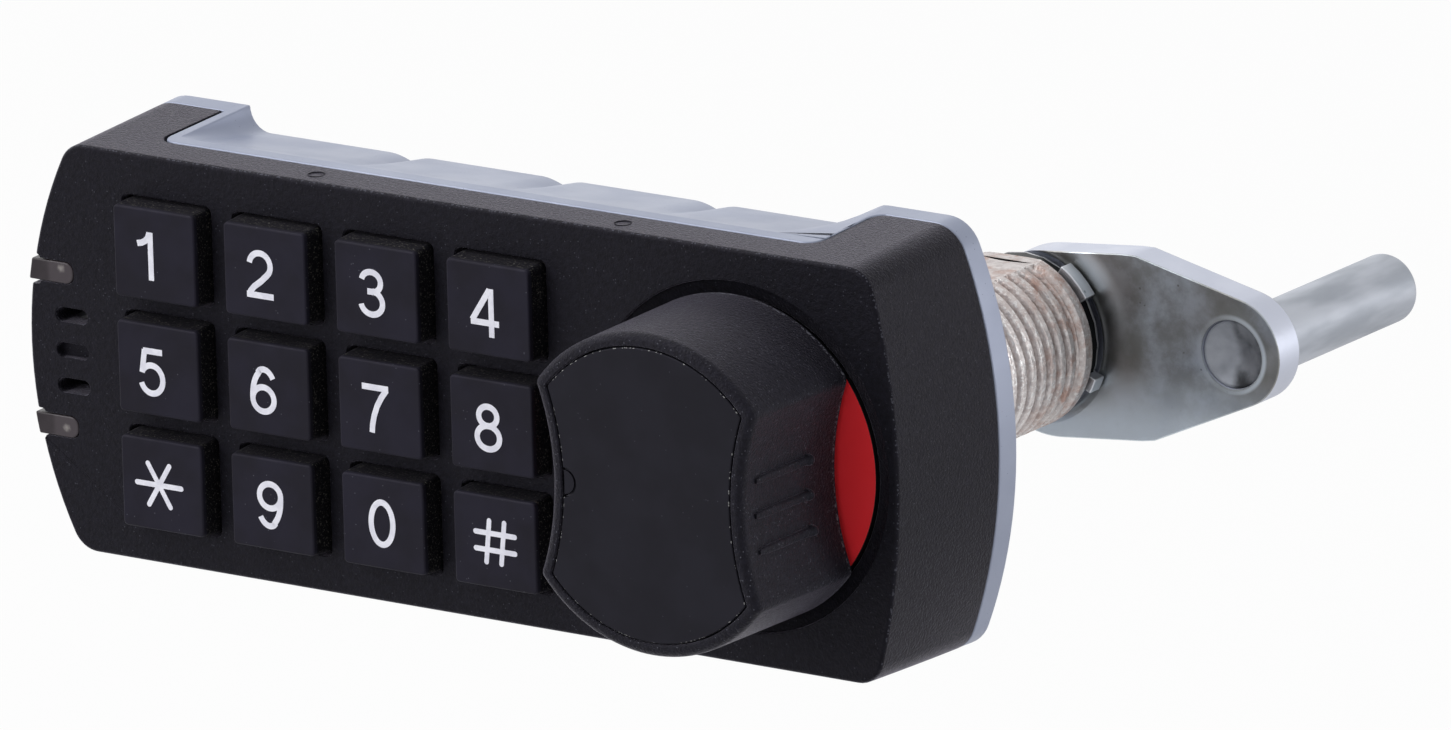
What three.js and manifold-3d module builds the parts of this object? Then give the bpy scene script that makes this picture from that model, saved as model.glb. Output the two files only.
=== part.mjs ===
// Electronic combination cam lock for a locker or cabinet door, in millimetres.
// +Z is up, the front faces -Y, and the origin is where the cylinder's axis meets the door face.
import * as THREE from "three";
import { mergeVertices } from "three/addons/utils/BufferGeometryUtils.js";
import Module from "manifold-3d";

const wasm = await Module();
wasm.setup();

// Shared clearances and overruns
const GAP = 0.3; // between neighbouring pieces
const SEAM = 0.15; // the fine joint between the cover and the base, and round the face plate
const OVERRUN = 2; // how far a cutting shape runs past the face it cuts
const MERGE = 1e-4; // points closer than this are one point

// Body outline at the front face, and how much it grows towards the door
const BODY_DEPTH = 19.3;
const REACH_LEFT = 89.2;
const REACH_RIGHT = 19.6;
const HALF_HEIGHT = 21.9;
const BOW_LEFT = 45;
const BOW_RIGHT = 78;
const CORNER = 3.2;
const EDGE_ROUND = 0.7;
const DRAFT_LEFT = 1.5;
const DRAFT_RIGHT = 1.6;
const DRAFT_HEIGHT = 0.8;
const DOOR_BOW_LEFT = 42;
const DOOR_BOW_RIGHT = 54;
const DOOR_CORNER = 4;

// Walls of the cover, and the base plate behind it
const FACE_WALL = 2;
const SIDE_WALL = 2;
const PLATE = 2.8;

// Grip block: the part of the base casting that shows through a notch in the top of the cover
const NOTCH_MARGIN = 13.6;
const NOTCH_LEFT = REACH_LEFT - NOTCH_MARGIN;
const NOTCH_RIGHT = 6.9;
const LIP = 4.8;
const NOTCH_CORNER = 2;
const NOTCH_FLARE = 1.5;
const BLOCK_DEEP = 4.3;
const BLOCK_UNDERSIDE = HALF_HEIGHT - BLOCK_DEEP;
const LEDGE = 1.6;
const LEDGE_STEP = 0.15;
const SCOOP_DEPTH = 2.7;
const SCOOP_HOLLOW = 0.8;
const SCOOP_FILLET = 2.6;
const SCOOP_MARGIN = 1.6;
const SCOOP_LEFT = NOTCH_LEFT - SCOOP_MARGIN;
const RAMP_FOOT = 0.2;
const RAMP_TOP = 5.6;
const RAMP_SPREAD = 1.6;
const GROOVE_DEPTH = 0.65;
const GROOVE_HALF = 2.7;
const GROOVES = 3;
const FIRST_PAD = 20.5;
const FIRST_GROOVE = SCOOP_LEFT - FIRST_PAD;
const LAST_GROOVE = 15.1;
const GROOVE_PITCH = (FIRST_GROOVE - LAST_GROOVE) / (GROOVES - 1);
const GROOVE_SHARES = [
  [-1, 0],
  [-0.6, 0.2],
  [-0.25, 0.6],
  [0, 1],
  [0.25, 0.6],
  [0.6, 0.2],
  [1, 0],
];

// Two thumbnail marks on the lip, in line with the outer grooves
const MARK_RADIUS = 0.9;
const MARK_DEPTH = 0.35;

// Keypad
const KEY_ROWS = [
  ["1", "2", "3", "4"],
  ["5", "6", "7", "8"],
  ["star", "9", "0", "hash"],
];
const KEY_COLUMNS = KEY_ROWS[0].length;
const KEYPAD_RIGHT = 28.9;
const KEYPAD_MARGIN_X = 18.15;
const KEYPAD_MARGIN_Z = 4.675;
const KEYPAD_DROP = 0.3;
const KEY_SPACE_X = 3.75;
const KEY_SPACE_Z = 2.6;
const KEY_PITCH_X = (REACH_LEFT - KEYPAD_MARGIN_X - KEYPAD_RIGHT) / (KEY_COLUMNS - 1);
const KEY_PITCH_Z = (2 * (HALF_HEIGHT - KEYPAD_MARGIN_Z) + KEY_SPACE_Z) / KEY_ROWS.length;
const KEY_WIDE = KEY_PITCH_X - KEY_SPACE_X;
const KEY_TALL = KEY_PITCH_Z - KEY_SPACE_Z;
const KEY_CORNER = 0.8;
const KEY_PROUD = 2.35;
const KEY_CHAMFER = 0.35;
const KEY_FLARE = 0.25;
const KEY_FLANGE = 0.55;
const KEY_FLANGE_THICK = 0.8;
const KEY_TRAVEL = 0.8;

// Silicone mat under the keys, with one dome for each, and the circuit board behind it
const DOME_HIGH = 0.7;
const DOME_RADIUS = 3.2;
const MAT_THICK = 0.8;
const MAT_MARGIN = 0.3;
const MAT_CORNER = 1.5;
const BOARD_THICK = 1.6;
const BOARD_RIGHT = 23.5;
const BOARD_NOTCH = 3.7;

// Indicator windows and sounder slots at the left end
const WINDOW_LONG = 6;
const WINDOW_INNER = REACH_LEFT - WINDOW_LONG;
const WINDOW_HALF = 1.25;
const WINDOW_RISE = 8.3;
const WINDOW_DROP = 0.5;
const WINDOW_CORNER = 0.6;
const WINDOW_PROUD = 0.35;
const SLOT_MARGIN = 5.6;
const SLOT_X = REACH_LEFT - SLOT_MARGIN;
const SLOT_PITCH = 3.8;
const SLOT_WIDE = 3.7;
const SLOT_TALL = 1.4;
const SLOTS = 3;
const BLIND_SLOT = 1;
const BLIND_SLOT_DEPTH = 0.9;
const SOUNDER_RADIUS = 4;
const SOUNDER_CHAMFER = 0.5;
const SOUNDER_PORT = 1;

// Battery tray with two coin cells, and the leaf contact over each cell
const TRAY_MARGIN = 12.2;
const TRAY_LEFT = REACH_LEFT - TRAY_MARGIN;
const TRAY_RIGHT = 25.95;
const CELL_STEP = 0.6;
const TRAY_FLOOR = 1;
const TRAY_WALL = 0.9;
const TRAY_RIB = 2.1;
const TRAY_CORNER = 4;
const CONTACT_THICK = 0.3;
const CONTACT_WIDE = 4;
const CONTACT_FOOT = 4;
const CONTACT_REACH = 9;
const CONTACT_ROOM = 1.7;

// Bezel round the knob, the status disc in it, and the bridge that carries the disc and the spindle
const BEZEL_RADIUS = 18.6;
const BEZEL_INNER = 16.7;
const BEZEL_DEPTH = 0.9;
const DISC_THICK = 1.2;
const BRIDGE_RADIUS = 17;
const BRIDGE_THICK = 1.5;
const SLEEVE_RADIUS = 6.8;
const LEG_RADIUS = 2.4;
const LEG_CIRCLE = 14.5;
const LEGS = 4;

// Knob and its face plate
const KNOB_RADIUS = 17.2;
const KNOB_PROUD = 16.3;
const KNOB_SUNK = 0.3;
const KNOB_WAIST = 11.95;
const WAIST_RADIUS = 28;
const KNOB_CORNER = 1.6;
const KNOB_CORNER_LEAST = 0.35;
const KNOB_ROUND = 1.1;
const KNOB_DRAFT = 0.25;
const RIM = 1.35;
const FACE_THICK = 1.2;
const FACE_RECESS = 1.5;
const PRY_RADIUS = 1.35;
const PRY_DEPTH = 0.4;
const KNOB_WALL = 2.2;
const KNOB_ROOF = 3.6;
const HUB_RADIUS = 6;
const RIB_PITCH = 3.7;
const RIB_OFFSET = 1;
const RIB_LONG = 9.6;
const RIB_PROUD = 0.45;
const RIB_HALF = 0.7;
const RIB_FADE = 0.05;
const RIBS = 3;

// Spindle, lock rotor, solenoid and plunger
const SPINDLE_RADIUS = 4.3;
const SPINDLE_SQUARE = 6;
const SPINDLE_FLAT = 3.6;
const ROTOR_RADIUS = 9;
const ROTOR_THICK = 3;
const ROTOR_DEPTH_SHARE = 0.425;
const ROTOR_NOTCH_DEPTH = 3.3;
const ROTOR_NOTCH_CLEAR = 0.6;
const PLUNGER_RADIUS = 1.5;
const PLUNGER_LONG = 10.5;
const PLUNGER_BACK_OFF = 0.5;
const SOLENOID_LONG = 9.2;
const SOLENOID_CLEAR = 4.4;
const SOLENOID_BORE = 7.6;
const SOLENOID_BAND = 0.5;
const SOLENOID_END_SHARE = 0.2;

// Threaded cylinder behind the door face
const THREAD_RADIUS = 9.5;
const THREAD_DEPTH = 0.8;
const THREAD_PITCH = 1.8;
const CYLINDER_LONG = 31.8;
const CYLINDER_NECK = 1;
const CYLINDER_COLLAR = 1.8;
const COLLAR_CHAMFER = 0.5;
const CYLINDER_FLAT = 8.8;
const CYLINDER_FLANGE = 11.5;
const CYLINDER_FLANGE_THICK = 1.8;
const THREAD_SHARES = [0, 0.22, 0.5, 0.78];

// Stop washer on the spindle, with its tabs, and the stop pin that runs in its slot
const WASHER_RADIUS = 8.7;
const WASHER_THICK = 1.8;
const WASHER_TAB = 9.9;
const WASHER_TABS_DEG = [
  [32, 57],
  [-30, -20],
];
const STOP_CIRCLE = 6.3;
const STOP_PIN_RADIUS = 0.8;
const STOP_PIN_SUNK = 2.5;
const STOP_PIN_PROUD = 1.6;
const TURN_DEG = 90;

// Cam plate, its riveted pin and its screw
const CAM_THICK = 3.9;
const CAM_HALF = 9.95;
const CAM_DROP = 1.2;
const CAM_SHOULDER = 13.7;
const CAM_REACH = 24.8;
const CAM_TIP = 5.65;
const CAM_END_CENTRE = 2.5;
const CAM_LEAN_DEG = 5.5;
const DISH_OUTER = 9.9;
const DISH_INNER = 8.9;
const DISH_DEPTH = 0.7;
const RIVET_DISH = 3.7;
const RIVET_DISH_DEPTH = 1;
const RIVET_BORE = 2.9;
const RIVET_DIMPLE = 0.35;
const CAM_PIN_RADIUS = 3.7;
const CAM_PIN_LONG = 26.1;
const CAM_PIN_DROP = 0.25;
const CAM_PIN_CHAMFER = 0.9;
const CAM_COLLAR = 4.1;
const CAM_COLLAR_LONG = 1.1;

// Screws
const COVER_SCREW_HEAD = 2.6;
const COVER_SCREW_HEAD_LONG = 1.6;
const COVER_SCREW_SHANK = 1.3;
const COVER_SCREW_LONG = 8;
const COVER_SCREW_SUNK = 0.1;
const KNOB_SCREW_HEAD = 3;
const KNOB_SCREW_HEAD_LONG = 1.6;
const KNOB_SCREW_SHANK = 1.5;
const KNOB_SCREW_LONG = 6;
const CAM_SCREW_HEAD = 4.2;
const CAM_SCREW_HEAD_LONG = 3;
const CAM_SCREW_SHANK = 2.2;
const CAM_SCREW_LONG = 9;
const CAM_SCREW_SOCKET = 2;
const SOCKET_SIDES = 6;
const CAM_WASHER = 6.5;
const CAM_WASHER_THICK = 1;
const DRIVE_HALF = 0.45;
const DRIVE_DEPTH_SHARE = 0.55;
const DRIVE_REACH_SHARE = 0.6;
const BOSS_WALL = 1.4;
const BOSS_MARGIN_LEFT = 8.7;
const BOSS_LEFT = REACH_LEFT - BOSS_MARGIN_LEFT;
const BOSS_LEFT_RISE = 15.6;
const BOSS_MARGIN_RIGHT = 7.3;
const BOSS_RIGHT = REACH_RIGHT - BOSS_MARGIN_RIGHT;
const BOSS_RIGHT_RISE = 16.6;

// Tapped bosses for the two fixing screws that come through the door
const FIXING_X = 22.6;
const FIXING_RISE = 12;
const FIXING_BOSS = 3;
const FIXING_CLEAR = 2.9;
const FIXING_HOLE = 1.65;

// Facets of one quarter turn, for large, middling, small and tiny round shapes,
// and of one whole turn of the thread
const FINE = 12;
const ROUND = 6;
const COARSE = 3;
const CRUDE = 2;
const THREAD_STEPS = 16;

// How far round a rounded edge, and how far down the scoop, each ring of points lies
const ROUNDING_SHARES = [0, 0.35, 0.7, 1];
const SCOOP_SHARES = [0, 0.25, 0.5, 0.75, 1];

// Planes worked out from the sizes above
const FRONT = -BODY_DEPTH;
const FACE_BACK = FRONT + FACE_WALL;
const KEY_FRONT = FRONT - KEY_PROUD;
const FLANGE_FRONT = FACE_BACK + GAP;
const KEY_BACK = FLANGE_FRONT + KEY_FLANGE_THICK;
const DOME_TOP = KEY_BACK + KEY_TRAVEL + GAP;
const MAT_FRONT = DOME_TOP + DOME_HIGH;
const MAT_BACK = MAT_FRONT + MAT_THICK;
const BOARD_FRONT = MAT_BACK + GAP;
const BOARD_BACK = BOARD_FRONT + BOARD_THICK;
const PLATE_FRONT = -PLATE;
const FLOOR = PLATE_FRONT - GAP;
const DISC_FRONT = FRONT + BEZEL_DEPTH;
const DISC_BACK = DISC_FRONT + DISC_THICK;
const BRIDGE_FRONT = DISC_BACK + GAP;
const BRIDGE_BACK = BRIDGE_FRONT + BRIDGE_THICK;
const KNOB_FRONT = FRONT - KNOB_PROUD;
const KNOB_BACK = FRONT + KNOB_SUNK;
const POCKET_FLOOR = KNOB_FRONT + FACE_RECESS;
const KNOB_CEILING = POCKET_FLOOR + KNOB_ROOF;
const SPINDLE_FRONT = KNOB_CEILING + GAP;
const WASHER_FRONT = CYLINDER_LONG + GAP;
const WASHER_BACK = WASHER_FRONT + WASHER_THICK;
const CAM_FRONT = WASHER_BACK + GAP;
const CAM_BACK = CAM_FRONT + CAM_THICK;
const BLOCK_FRONT = FRONT + LIP + GAP;
const LEDGE_BACK = BLOCK_FRONT + LEDGE;
const ROTOR_MIDDLE = -BODY_DEPTH * ROTOR_DEPTH_SHARE;
const ROTOR_FRONT = ROTOR_MIDDLE - ROTOR_THICK / 2;
const SLEEVE_BACK = ROTOR_FRONT - GAP;
const SOLENOID_RADIUS = FLOOR - ROTOR_MIDDLE;
const FIXING_FRONT = BOARD_BACK + FIXING_CLEAR;
const CELL_BACK = FLOOR - TRAY_FLOOR - GAP;
const CELL_FRONT = BOARD_BACK + 2 * GAP + CONTACT_ROOM;
const CELL_MIDDLE = (TRAY_LEFT + TRAY_RIGHT) / 2;
const CELL_POCKET = (TRAY_LEFT - TRAY_RIGHT - 2 * TRAY_WALL - TRAY_RIB) / 4;
const CELL_RADIUS = CELL_POCKET - GAP;
const CELL_PITCH = 2 * CELL_POCKET + TRAY_RIB;

const lerp = THREE.MathUtils.lerp;
const rad = THREE.MathUtils.degToRad;
const QUARTER = Math.PI / 2;

// The points of an arc about x, z, both ends included
function arc(x, z, radius, from, to, steps) {
  const points = [];
  for (let i = 0; i <= steps; i++) {
    const angle = lerp(from, to, i / steps);
    points.push(new THREE.Vector2(x + radius * Math.cos(angle), z + radius * Math.sin(angle)));
  }
  return points;
}

function circle(x, z, radius, perQuarter) {
  const points = arc(x, z, radius, 0, 4 * QUARTER, 4 * perQuarter);
  points.pop();
  return points;
}

// A rectangle with round corners, about its centre
function roundedRectangle(x, z, wide, tall, corner, steps) {
  const u = wide / 2 - corner;
  const v = tall / 2 - corner;
  return [
    ...arc(x + u, z + v, corner, 0, QUARTER, steps),
    ...arc(x - u, z + v, corner, QUARTER, 2 * QUARTER, steps),
    ...arc(x - u, z - v, corner, 2 * QUARTER, 3 * QUARTER, steps),
    ...arc(x + u, z - v, corner, 3 * QUARTER, 4 * QUARTER, steps),
  ];
}

function rectangle(left, bottom, right, top) {
  return [
    new THREE.Vector2(left, bottom),
    new THREE.Vector2(right, bottom),
    new THREE.Vector2(right, top),
    new THREE.Vector2(left, top),
  ];
}

// How a ring's u, v and the loft's own distance w are laid into the part's space
const ALONG_Y = (u, v, w) => [u, w, v];
const ALONG_Z = (u, v, w) => [u, v, w];

// A closed skin through rings of equally many points, each given as [distance, ring]
function loft(given, lay = ALONG_Y) {
  const clockwise = THREE.ShapeUtils.isClockWise(given[0][1]);
  const sections = given.map(([w, ring]) => [w, clockwise ? [...ring].reverse() : ring]);
  const count = sections[0][1].length;
  const positions = sections.flatMap(([w, ring]) => ring.flatMap((p) => lay(p.x, p.y, w)));
  const index = [];
  for (let s = 0; s + 1 < sections.length; s++) {
    for (let i = 0; i < count; i++) {
      const a = s * count + i;
      const b = s * count + ((i + 1) % count);
      index.push(a, b, b + count, a, b + count, a + count);
    }
  }
  const last = (sections.length - 1) * count;
  for (const [a, b, c] of THREE.ShapeUtils.triangulateShape(sections[0][1], [])) {
    index.push(a, c, b);
  }
  for (const [a, b, c] of THREE.ShapeUtils.triangulateShape(sections.at(-1)[1], [])) {
    index.push(last + a, last + b, last + c);
  }
  const geometry = new THREE.BufferGeometry();
  geometry.setAttribute("position", new THREE.Float32BufferAttribute(positions, 3));
  geometry.setIndex(index);
  return solid(geometry);
}

const prism = (ring, from, to, lay) => loft([[from, ring], [to, ring]], lay);

// A solid turned about the Y axis from [radius, y] pairs that start and end on the axis
function turned(profile, perQuarter, x = 0, z = 0) {
  const points = profile.map(([radius, y]) => new THREE.Vector2(radius, y));
  return solid(new THREE.LatheGeometry(points, 4 * perQuarter).translate(x, 0, z));
}

const rod = (radius, from, to, perQuarter, x = 0, z = 0) =>
  turned([[0, from], [radius, from], [radius, to], [0, to]], perQuarter, x, z);

// A three.js geometry as a manifold-3d solid with its faces outwards
function solid(geometry) {
  for (const name of Object.keys(geometry.attributes)) {
    if (name !== "position") geometry.deleteAttribute(name);
  }
  const merged = mergeVertices(geometry, MERGE);
  const kept = [];
  const all = merged.index.array;
  for (let i = 0; i < all.length; i += 3) {
    const [a, b, c] = [all[i], all[i + 1], all[i + 2]];
    if (a !== b && b !== c && c !== a) kept.push(a, b, c);
  }
  const build = (triVerts) =>
    new wasm.Manifold(
      new wasm.Mesh({ numProp: 3, vertProperties: merged.attributes.position.array, triVerts }),
    );
  const made = build(new Uint32Array(kept));
  return made.volume() < 0 ? build(new Uint32Array(kept).reverse()) : made;
}

const cut = (body, ...tools) => tools.reduce((rest, tool) => rest.subtract(tool), body);
const join = (body, ...pieces) => pieces.reduce((sum, piece) => sum.add(piece), body);

const part = new THREE.Group();

// Adds a finished solid to the part as a named mesh
function addPiece(name, body, { color, roughness, metalness = 0, opacity = 1 }) {
  const { vertProperties, triVerts } = body.getMesh();
  const geometry = new THREE.BufferGeometry();
  geometry.setAttribute("position", new THREE.BufferAttribute(vertProperties, 3));
  geometry.setIndex(new THREE.BufferAttribute(triVerts, 1));
  const flat = geometry.toNonIndexed();
  flat.computeVertexNormals();
  const transparent = opacity < 1;
  const finish = { color, roughness, metalness, opacity, transparent };
  const mesh = new THREE.Mesh(flat, new THREE.MeshStandardMaterial(finish));
  mesh.name = name;
  part.add(mesh);
}

// Finishes
const BLACK_COVER = { color: 0x29292e, roughness: 0.5 };
const BLACK_KNOB = { color: 0x26272b, roughness: 0.52 };
const BLACK_FACE = { color: 0x24252a, roughness: 0.42 };
const RUBBER = { color: 0x2a2b31, roughness: 0.62 };
const SILVER_PAINT = { color: 0xaab0c0, roughness: 0.42, metalness: 0.35 };
const NICKEL = { color: 0xb5aaa6, roughness: 0.36, metalness: 1 };
const ZINC = { color: 0x98a1a5, roughness: 0.34, metalness: 1 };
const STEEL = { color: 0xa7abb5, roughness: 0.3, metalness: 1 };
const SMOKED_LENS = { color: 0x4b4645, roughness: 0.12, opacity: 0.6 };
const STATUS_PAINT = { color: 0xa51d22, roughness: 0.55 };
const GREY_PLASTIC = { color: 0x6f7276, roughness: 0.6 };
const SILICONE = { color: 0x3a3b40, roughness: 0.7 };
const BOARD_GREEN = { color: 0x1f5b38, roughness: 0.45 };
const BRASS = { color: 0xb8974a, roughness: 0.35, metalness: 1 };

// The body's outline at a depth behind or before the door face, drawn in by an inset
function bodyRing(y, inset = 0) {
  const share = 1 + y / BODY_DEPTH;
  const half = lerp(HALF_HEIGHT, HALF_HEIGHT + DRAFT_HEIGHT, share) - inset;
  const left = lerp(REACH_LEFT, REACH_LEFT + DRAFT_LEFT, share) - inset;
  const right = lerp(REACH_RIGHT, REACH_RIGHT + DRAFT_RIGHT, share) - inset;
  const bowLeft = lerp(BOW_LEFT, DOOR_BOW_LEFT, share) - inset;
  const bowRight = lerp(BOW_RIGHT, DOOR_BOW_RIGHT, share) - inset;
  const corner = Math.max(lerp(CORNER, DOOR_CORNER, share) - inset, EDGE_ROUND);
  const end = (reach, bow) => {
    const bowCentre = reach - bow;
    const run = Math.sqrt((bow - corner) ** 2 - (half - corner) ** 2);
    const angle = Math.atan2(half - corner, run);
    return [
      ...arc(bowCentre, 0, bow, 0, angle, COARSE + 1),
      ...arc(bowCentre + run, half - corner, corner, angle, QUARTER, COARSE).slice(1),
    ];
  };
  const rightEnd = end(right, bowRight);
  const leftEnd = end(left, bowLeft);
  const mirrored = (points, x, z) => points.map((p) => new THREE.Vector2(x * p.x, z * p.y));
  return [
    ...rightEnd,
    ...mirrored(leftEnd, -1, 1).reverse(),
    ...mirrored(leftEnd, -1, -1).slice(1),
    ...mirrored(rightEnd, 1, -1).reverse().slice(0, -1),
  ];
}

const bodySlice = (from, to, inset = 0) => loft([from, to].map((y) => [y, bodyRing(y, inset)]));

// The notch in the top of the cover, seen from above, drawn in by an inset
function notchRing(inset) {
  const left = -NOTCH_LEFT + inset;
  const right = NOTCH_RIGHT - inset;
  const front = FRONT + LIP + inset;
  const corner = NOTCH_CORNER - inset;
  const flare = NOTCH_FLARE + inset;
  const flareY = PLATE_FRONT - SEAM - NOTCH_FLARE;
  return [
    new THREE.Vector2(right + flare, OVERRUN),
    new THREE.Vector2(left, OVERRUN),
    ...arc(left + corner, front + corner, corner, 2 * QUARTER, 3 * QUARTER, COARSE),
    ...arc(right - corner, front + corner, corner, 3 * QUARTER, 4 * QUARTER, COARSE),
    ...arc(right + flare, flareY, flare, 2 * QUARTER, QUARTER, COARSE),
  ];
}

const screwSpots = [
  ["upper_left", -BOSS_LEFT, BOSS_LEFT_RISE],
  ["lower_left", -BOSS_LEFT, -BOSS_LEFT_RISE],
  ["upper_right", BOSS_RIGHT, BOSS_RIGHT_RISE],
  ["lower_right", BOSS_RIGHT, -BOSS_RIGHT_RISE],
];
const windowSpots = [
  ["upper", WINDOW_RISE - WINDOW_DROP],
  ["lower", -WINDOW_RISE - WINDOW_DROP],
];

// The keys' centres, row by row from the top left
const keySpots = KEY_ROWS.flatMap((row, r) =>
  row.map((name, c) => {
    const x = -KEYPAD_RIGHT - (KEY_COLUMNS - 1 - c) * KEY_PITCH_X;
    return [name, x, (1 - r) * KEY_PITCH_Z - KEYPAD_DROP];
  }),
);

// The floor of the finger scoop at one depth, as a ring that is open above
function scoopRing(y) {
  const top = HALF_HEIGHT + DRAFT_HEIGHT;
  const run = (y - LEDGE_BACK) / -LEDGE_BACK;
  const depth = lerp(LEDGE_STEP, SCOOP_DEPTH, run ** SCOOP_HOLLOW);
  const rampTop = RAMP_TOP + RAMP_SPREAD * (1 - run);
  const surface = lerp(HALF_HEIGHT, top, 1 + y / BODY_DEPTH);
  const points = arc(0, 0, 1, 2 * QUARTER, 3 * QUARTER, COARSE).map((p) => [
    -SCOOP_LEFT + SCOOP_FILLET * (1 + p.x),
    -p.y,
  ]);
  for (let i = 0; i < GROOVES; i++) {
    for (const [across, deep] of GROOVE_SHARES) {
      const x = -FIRST_GROOVE + i * GROOVE_PITCH + across * GROOVE_HALF;
      points.push([x, 1 + (deep * GROOVE_DEPTH) / SCOOP_DEPTH]);
    }
  }
  points.push([RAMP_FOOT, 1], [rampTop, 0]);
  return [
    ...points.map(([x, share]) => new THREE.Vector2(x, surface - depth * share)),
    new THREE.Vector2(rampTop, top + OVERRUN),
    new THREE.Vector2(-SCOOP_LEFT, top + OVERRUN),
  ];
}

// Die-cast base: the plate against the door and the grip block with its scoop
function baseCasting() {
  const top = HALF_HEIGHT + DRAFT_HEIGHT + OVERRUN;
  const window = prism(notchRing(GAP), BLOCK_UNDERSIDE, top, ALONG_Z);
  const block = bodySlice(BLOCK_FRONT, 0).intersect(window);
  const steps = SCOOP_SHARES.map((share) => lerp(LEDGE_BACK, 0, share));
  const scoop = loft([...steps, OVERRUN].map((y) => [y, scoopRing(y)]));
  const bosses = [FIXING_RISE, -FIXING_RISE].map((z) =>
    rod(FIXING_BOSS, FIXING_FRONT, -PLATE / 2, COARSE, -FIXING_X, z),
  );
  const fixingHoles = [FIXING_RISE, -FIXING_RISE].map((z) =>
    rod(FIXING_HOLE, FIXING_FRONT + FIXING_HOLE, OVERRUN, COARSE, -FIXING_X, z),
  );
  const from = PLATE_FRONT - OVERRUN;
  const screwHoles = screwSpots.map(([, x, z]) => {
    const head = COVER_SCREW_HEAD + GAP;
    const shank = COVER_SCREW_SHANK + GAP;
    const seat = -COVER_SCREW_SUNK - COVER_SCREW_HEAD_LONG - GAP;
    const profile = [
      [0, from],
      [shank, from],
      [shank, seat],
      [head, seat],
      [head, OVERRUN],
      [0, OVERRUN],
    ];
    return turned(profile, COARSE, x, z);
  });
  const neck = cylinderFlats(THREAD_RADIUS + GAP, CYLINDER_FLAT + GAP, from, OVERRUN, ROUND);
  const plate = join(bodySlice(PLATE_FRONT, 0), block, ...bosses);
  addPiece("base_casting", cut(plate, scoop, neck, ...fixingHoles, ...screwHoles), SILVER_PAINT);
}

// Moulded cover with its key openings, indicator notches, sounder slots, bezel and screw bosses
function frontCover() {
  const back = PLATE_FRONT - SEAM;
  const roundings = ROUNDING_SHARES.map((share) => {
    const angle = share * QUARTER;
    const y = FRONT + EDGE_ROUND * (1 - Math.cos(angle));
    return [y, bodyRing(y, EDGE_ROUND * (1 - Math.sin(angle)))];
  });
  const shell = loft([...roundings, [back, bodyRing(back)]]);
  const cavity = loft([FACE_BACK, back + OVERRUN].map((y) => [y, bodyRing(y, SIDE_WALL)]));
  const boss = COVER_SCREW_SHANK + GAP + BOSS_WALL;
  const posts = screwSpots.map(([, x, z]) => rod(boss, FACE_BACK - FACE_WALL / 2, FLOOR, ROUND, x, z));
  const pilots = screwSpots.map(([, x, z]) =>
    rod(COVER_SCREW_SHANK + GAP, FLOOR - COVER_SCREW_LONG, FLOOR + OVERRUN, COARSE, x, z),
  );
  const keyHoles = keySpots.map(([, x, z]) => {
    const wide = KEY_WIDE + 2 * (KEY_FLARE + GAP);
    const tall = KEY_TALL + 2 * (KEY_FLARE + GAP);
    const ring = roundedRectangle(x, z, wide, tall, KEY_CORNER + GAP, CRUDE);
    return prism(ring, FRONT - OVERRUN, FACE_BACK + OVERRUN);
  });
  const windowNotches = windowSpots.map(([, z]) =>
    prism(windowRing(z, GAP), FRONT - OVERRUN, BOARD_FRONT),
  );
  const slots = [];
  for (let i = 0; i < SLOTS; i++) {
    const z = (i - (SLOTS - 1) / 2) * SLOT_PITCH - WINDOW_DROP;
    const ring = roundedRectangle(-SLOT_X, z, SLOT_WIDE, SLOT_TALL, SLOT_TALL / 2, COARSE);
    const floor = i === BLIND_SLOT ? FRONT + BLIND_SLOT_DEPTH : FACE_BACK + OVERRUN;
    slots.push(prism(ring, FRONT - OVERRUN, floor));
  }
  const bezel = turned(
    [
      [0, FRONT - BEZEL_DEPTH],
      [2 * BEZEL_RADIUS - BEZEL_INNER, FRONT - BEZEL_DEPTH],
      [BEZEL_INNER, FRONT + BEZEL_DEPTH],
      [BEZEL_INNER, FACE_BACK + OVERRUN],
      [0, FACE_BACK + OVERRUN],
    ],
    FINE,
  );
  const above = HALF_HEIGHT + DRAFT_HEIGHT + OVERRUN;
  const notch = prism(notchRing(0), BLOCK_UNDERSIDE - GAP, above, ALONG_Z);
  const marks = [-FIRST_GROOVE, -FIRST_GROOVE + (GROOVES - 1) * GROOVE_PITCH].map((x) => {
    const ring = circle(x, FRONT + LIP / 2, MARK_RADIUS, COARSE);
    return prism(ring, HALF_HEIGHT - MARK_DEPTH, HALF_HEIGHT + OVERRUN, ALONG_Z);
  });
  const hollow = cut(shell, cavity);
  const inside = bodySlice(FRONT + EDGE_ROUND, back, EDGE_ROUND);
  const withPosts = join(hollow, ...posts.map((post) => post.intersect(inside)));
  const openings = [...pilots, ...keyHoles, ...windowNotches, ...slots, bezel, notch, ...marks];
  addPiece("front_cover", cut(withPosts, ...openings), BLACK_COVER);
}

function windowRing(z, gap) {
  const outer = REACH_LEFT + DRAFT_LEFT + OVERRUN;
  const wide = outer - WINDOW_INNER + gap;
  const middle = -(outer + WINDOW_INNER - gap) / 2;
  return roundedRectangle(middle, z, wide, 2 * (WINDOW_HALF + gap), WINDOW_CORNER, COARSE);
}

// Light pipes that carry the board's two lamps to the front and the left end
function lightPipes() {
  const back = BOARD_FRONT - GAP;
  for (const [place, z] of windowSpots) {
    const bar = prism(windowRing(z, 0), FRONT, back);
    addPiece(`light_pipe_${place}`, bar.intersect(bodySlice(FRONT, back, -WINDOW_PROUD)), SMOKED_LENS);
  }
}

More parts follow.
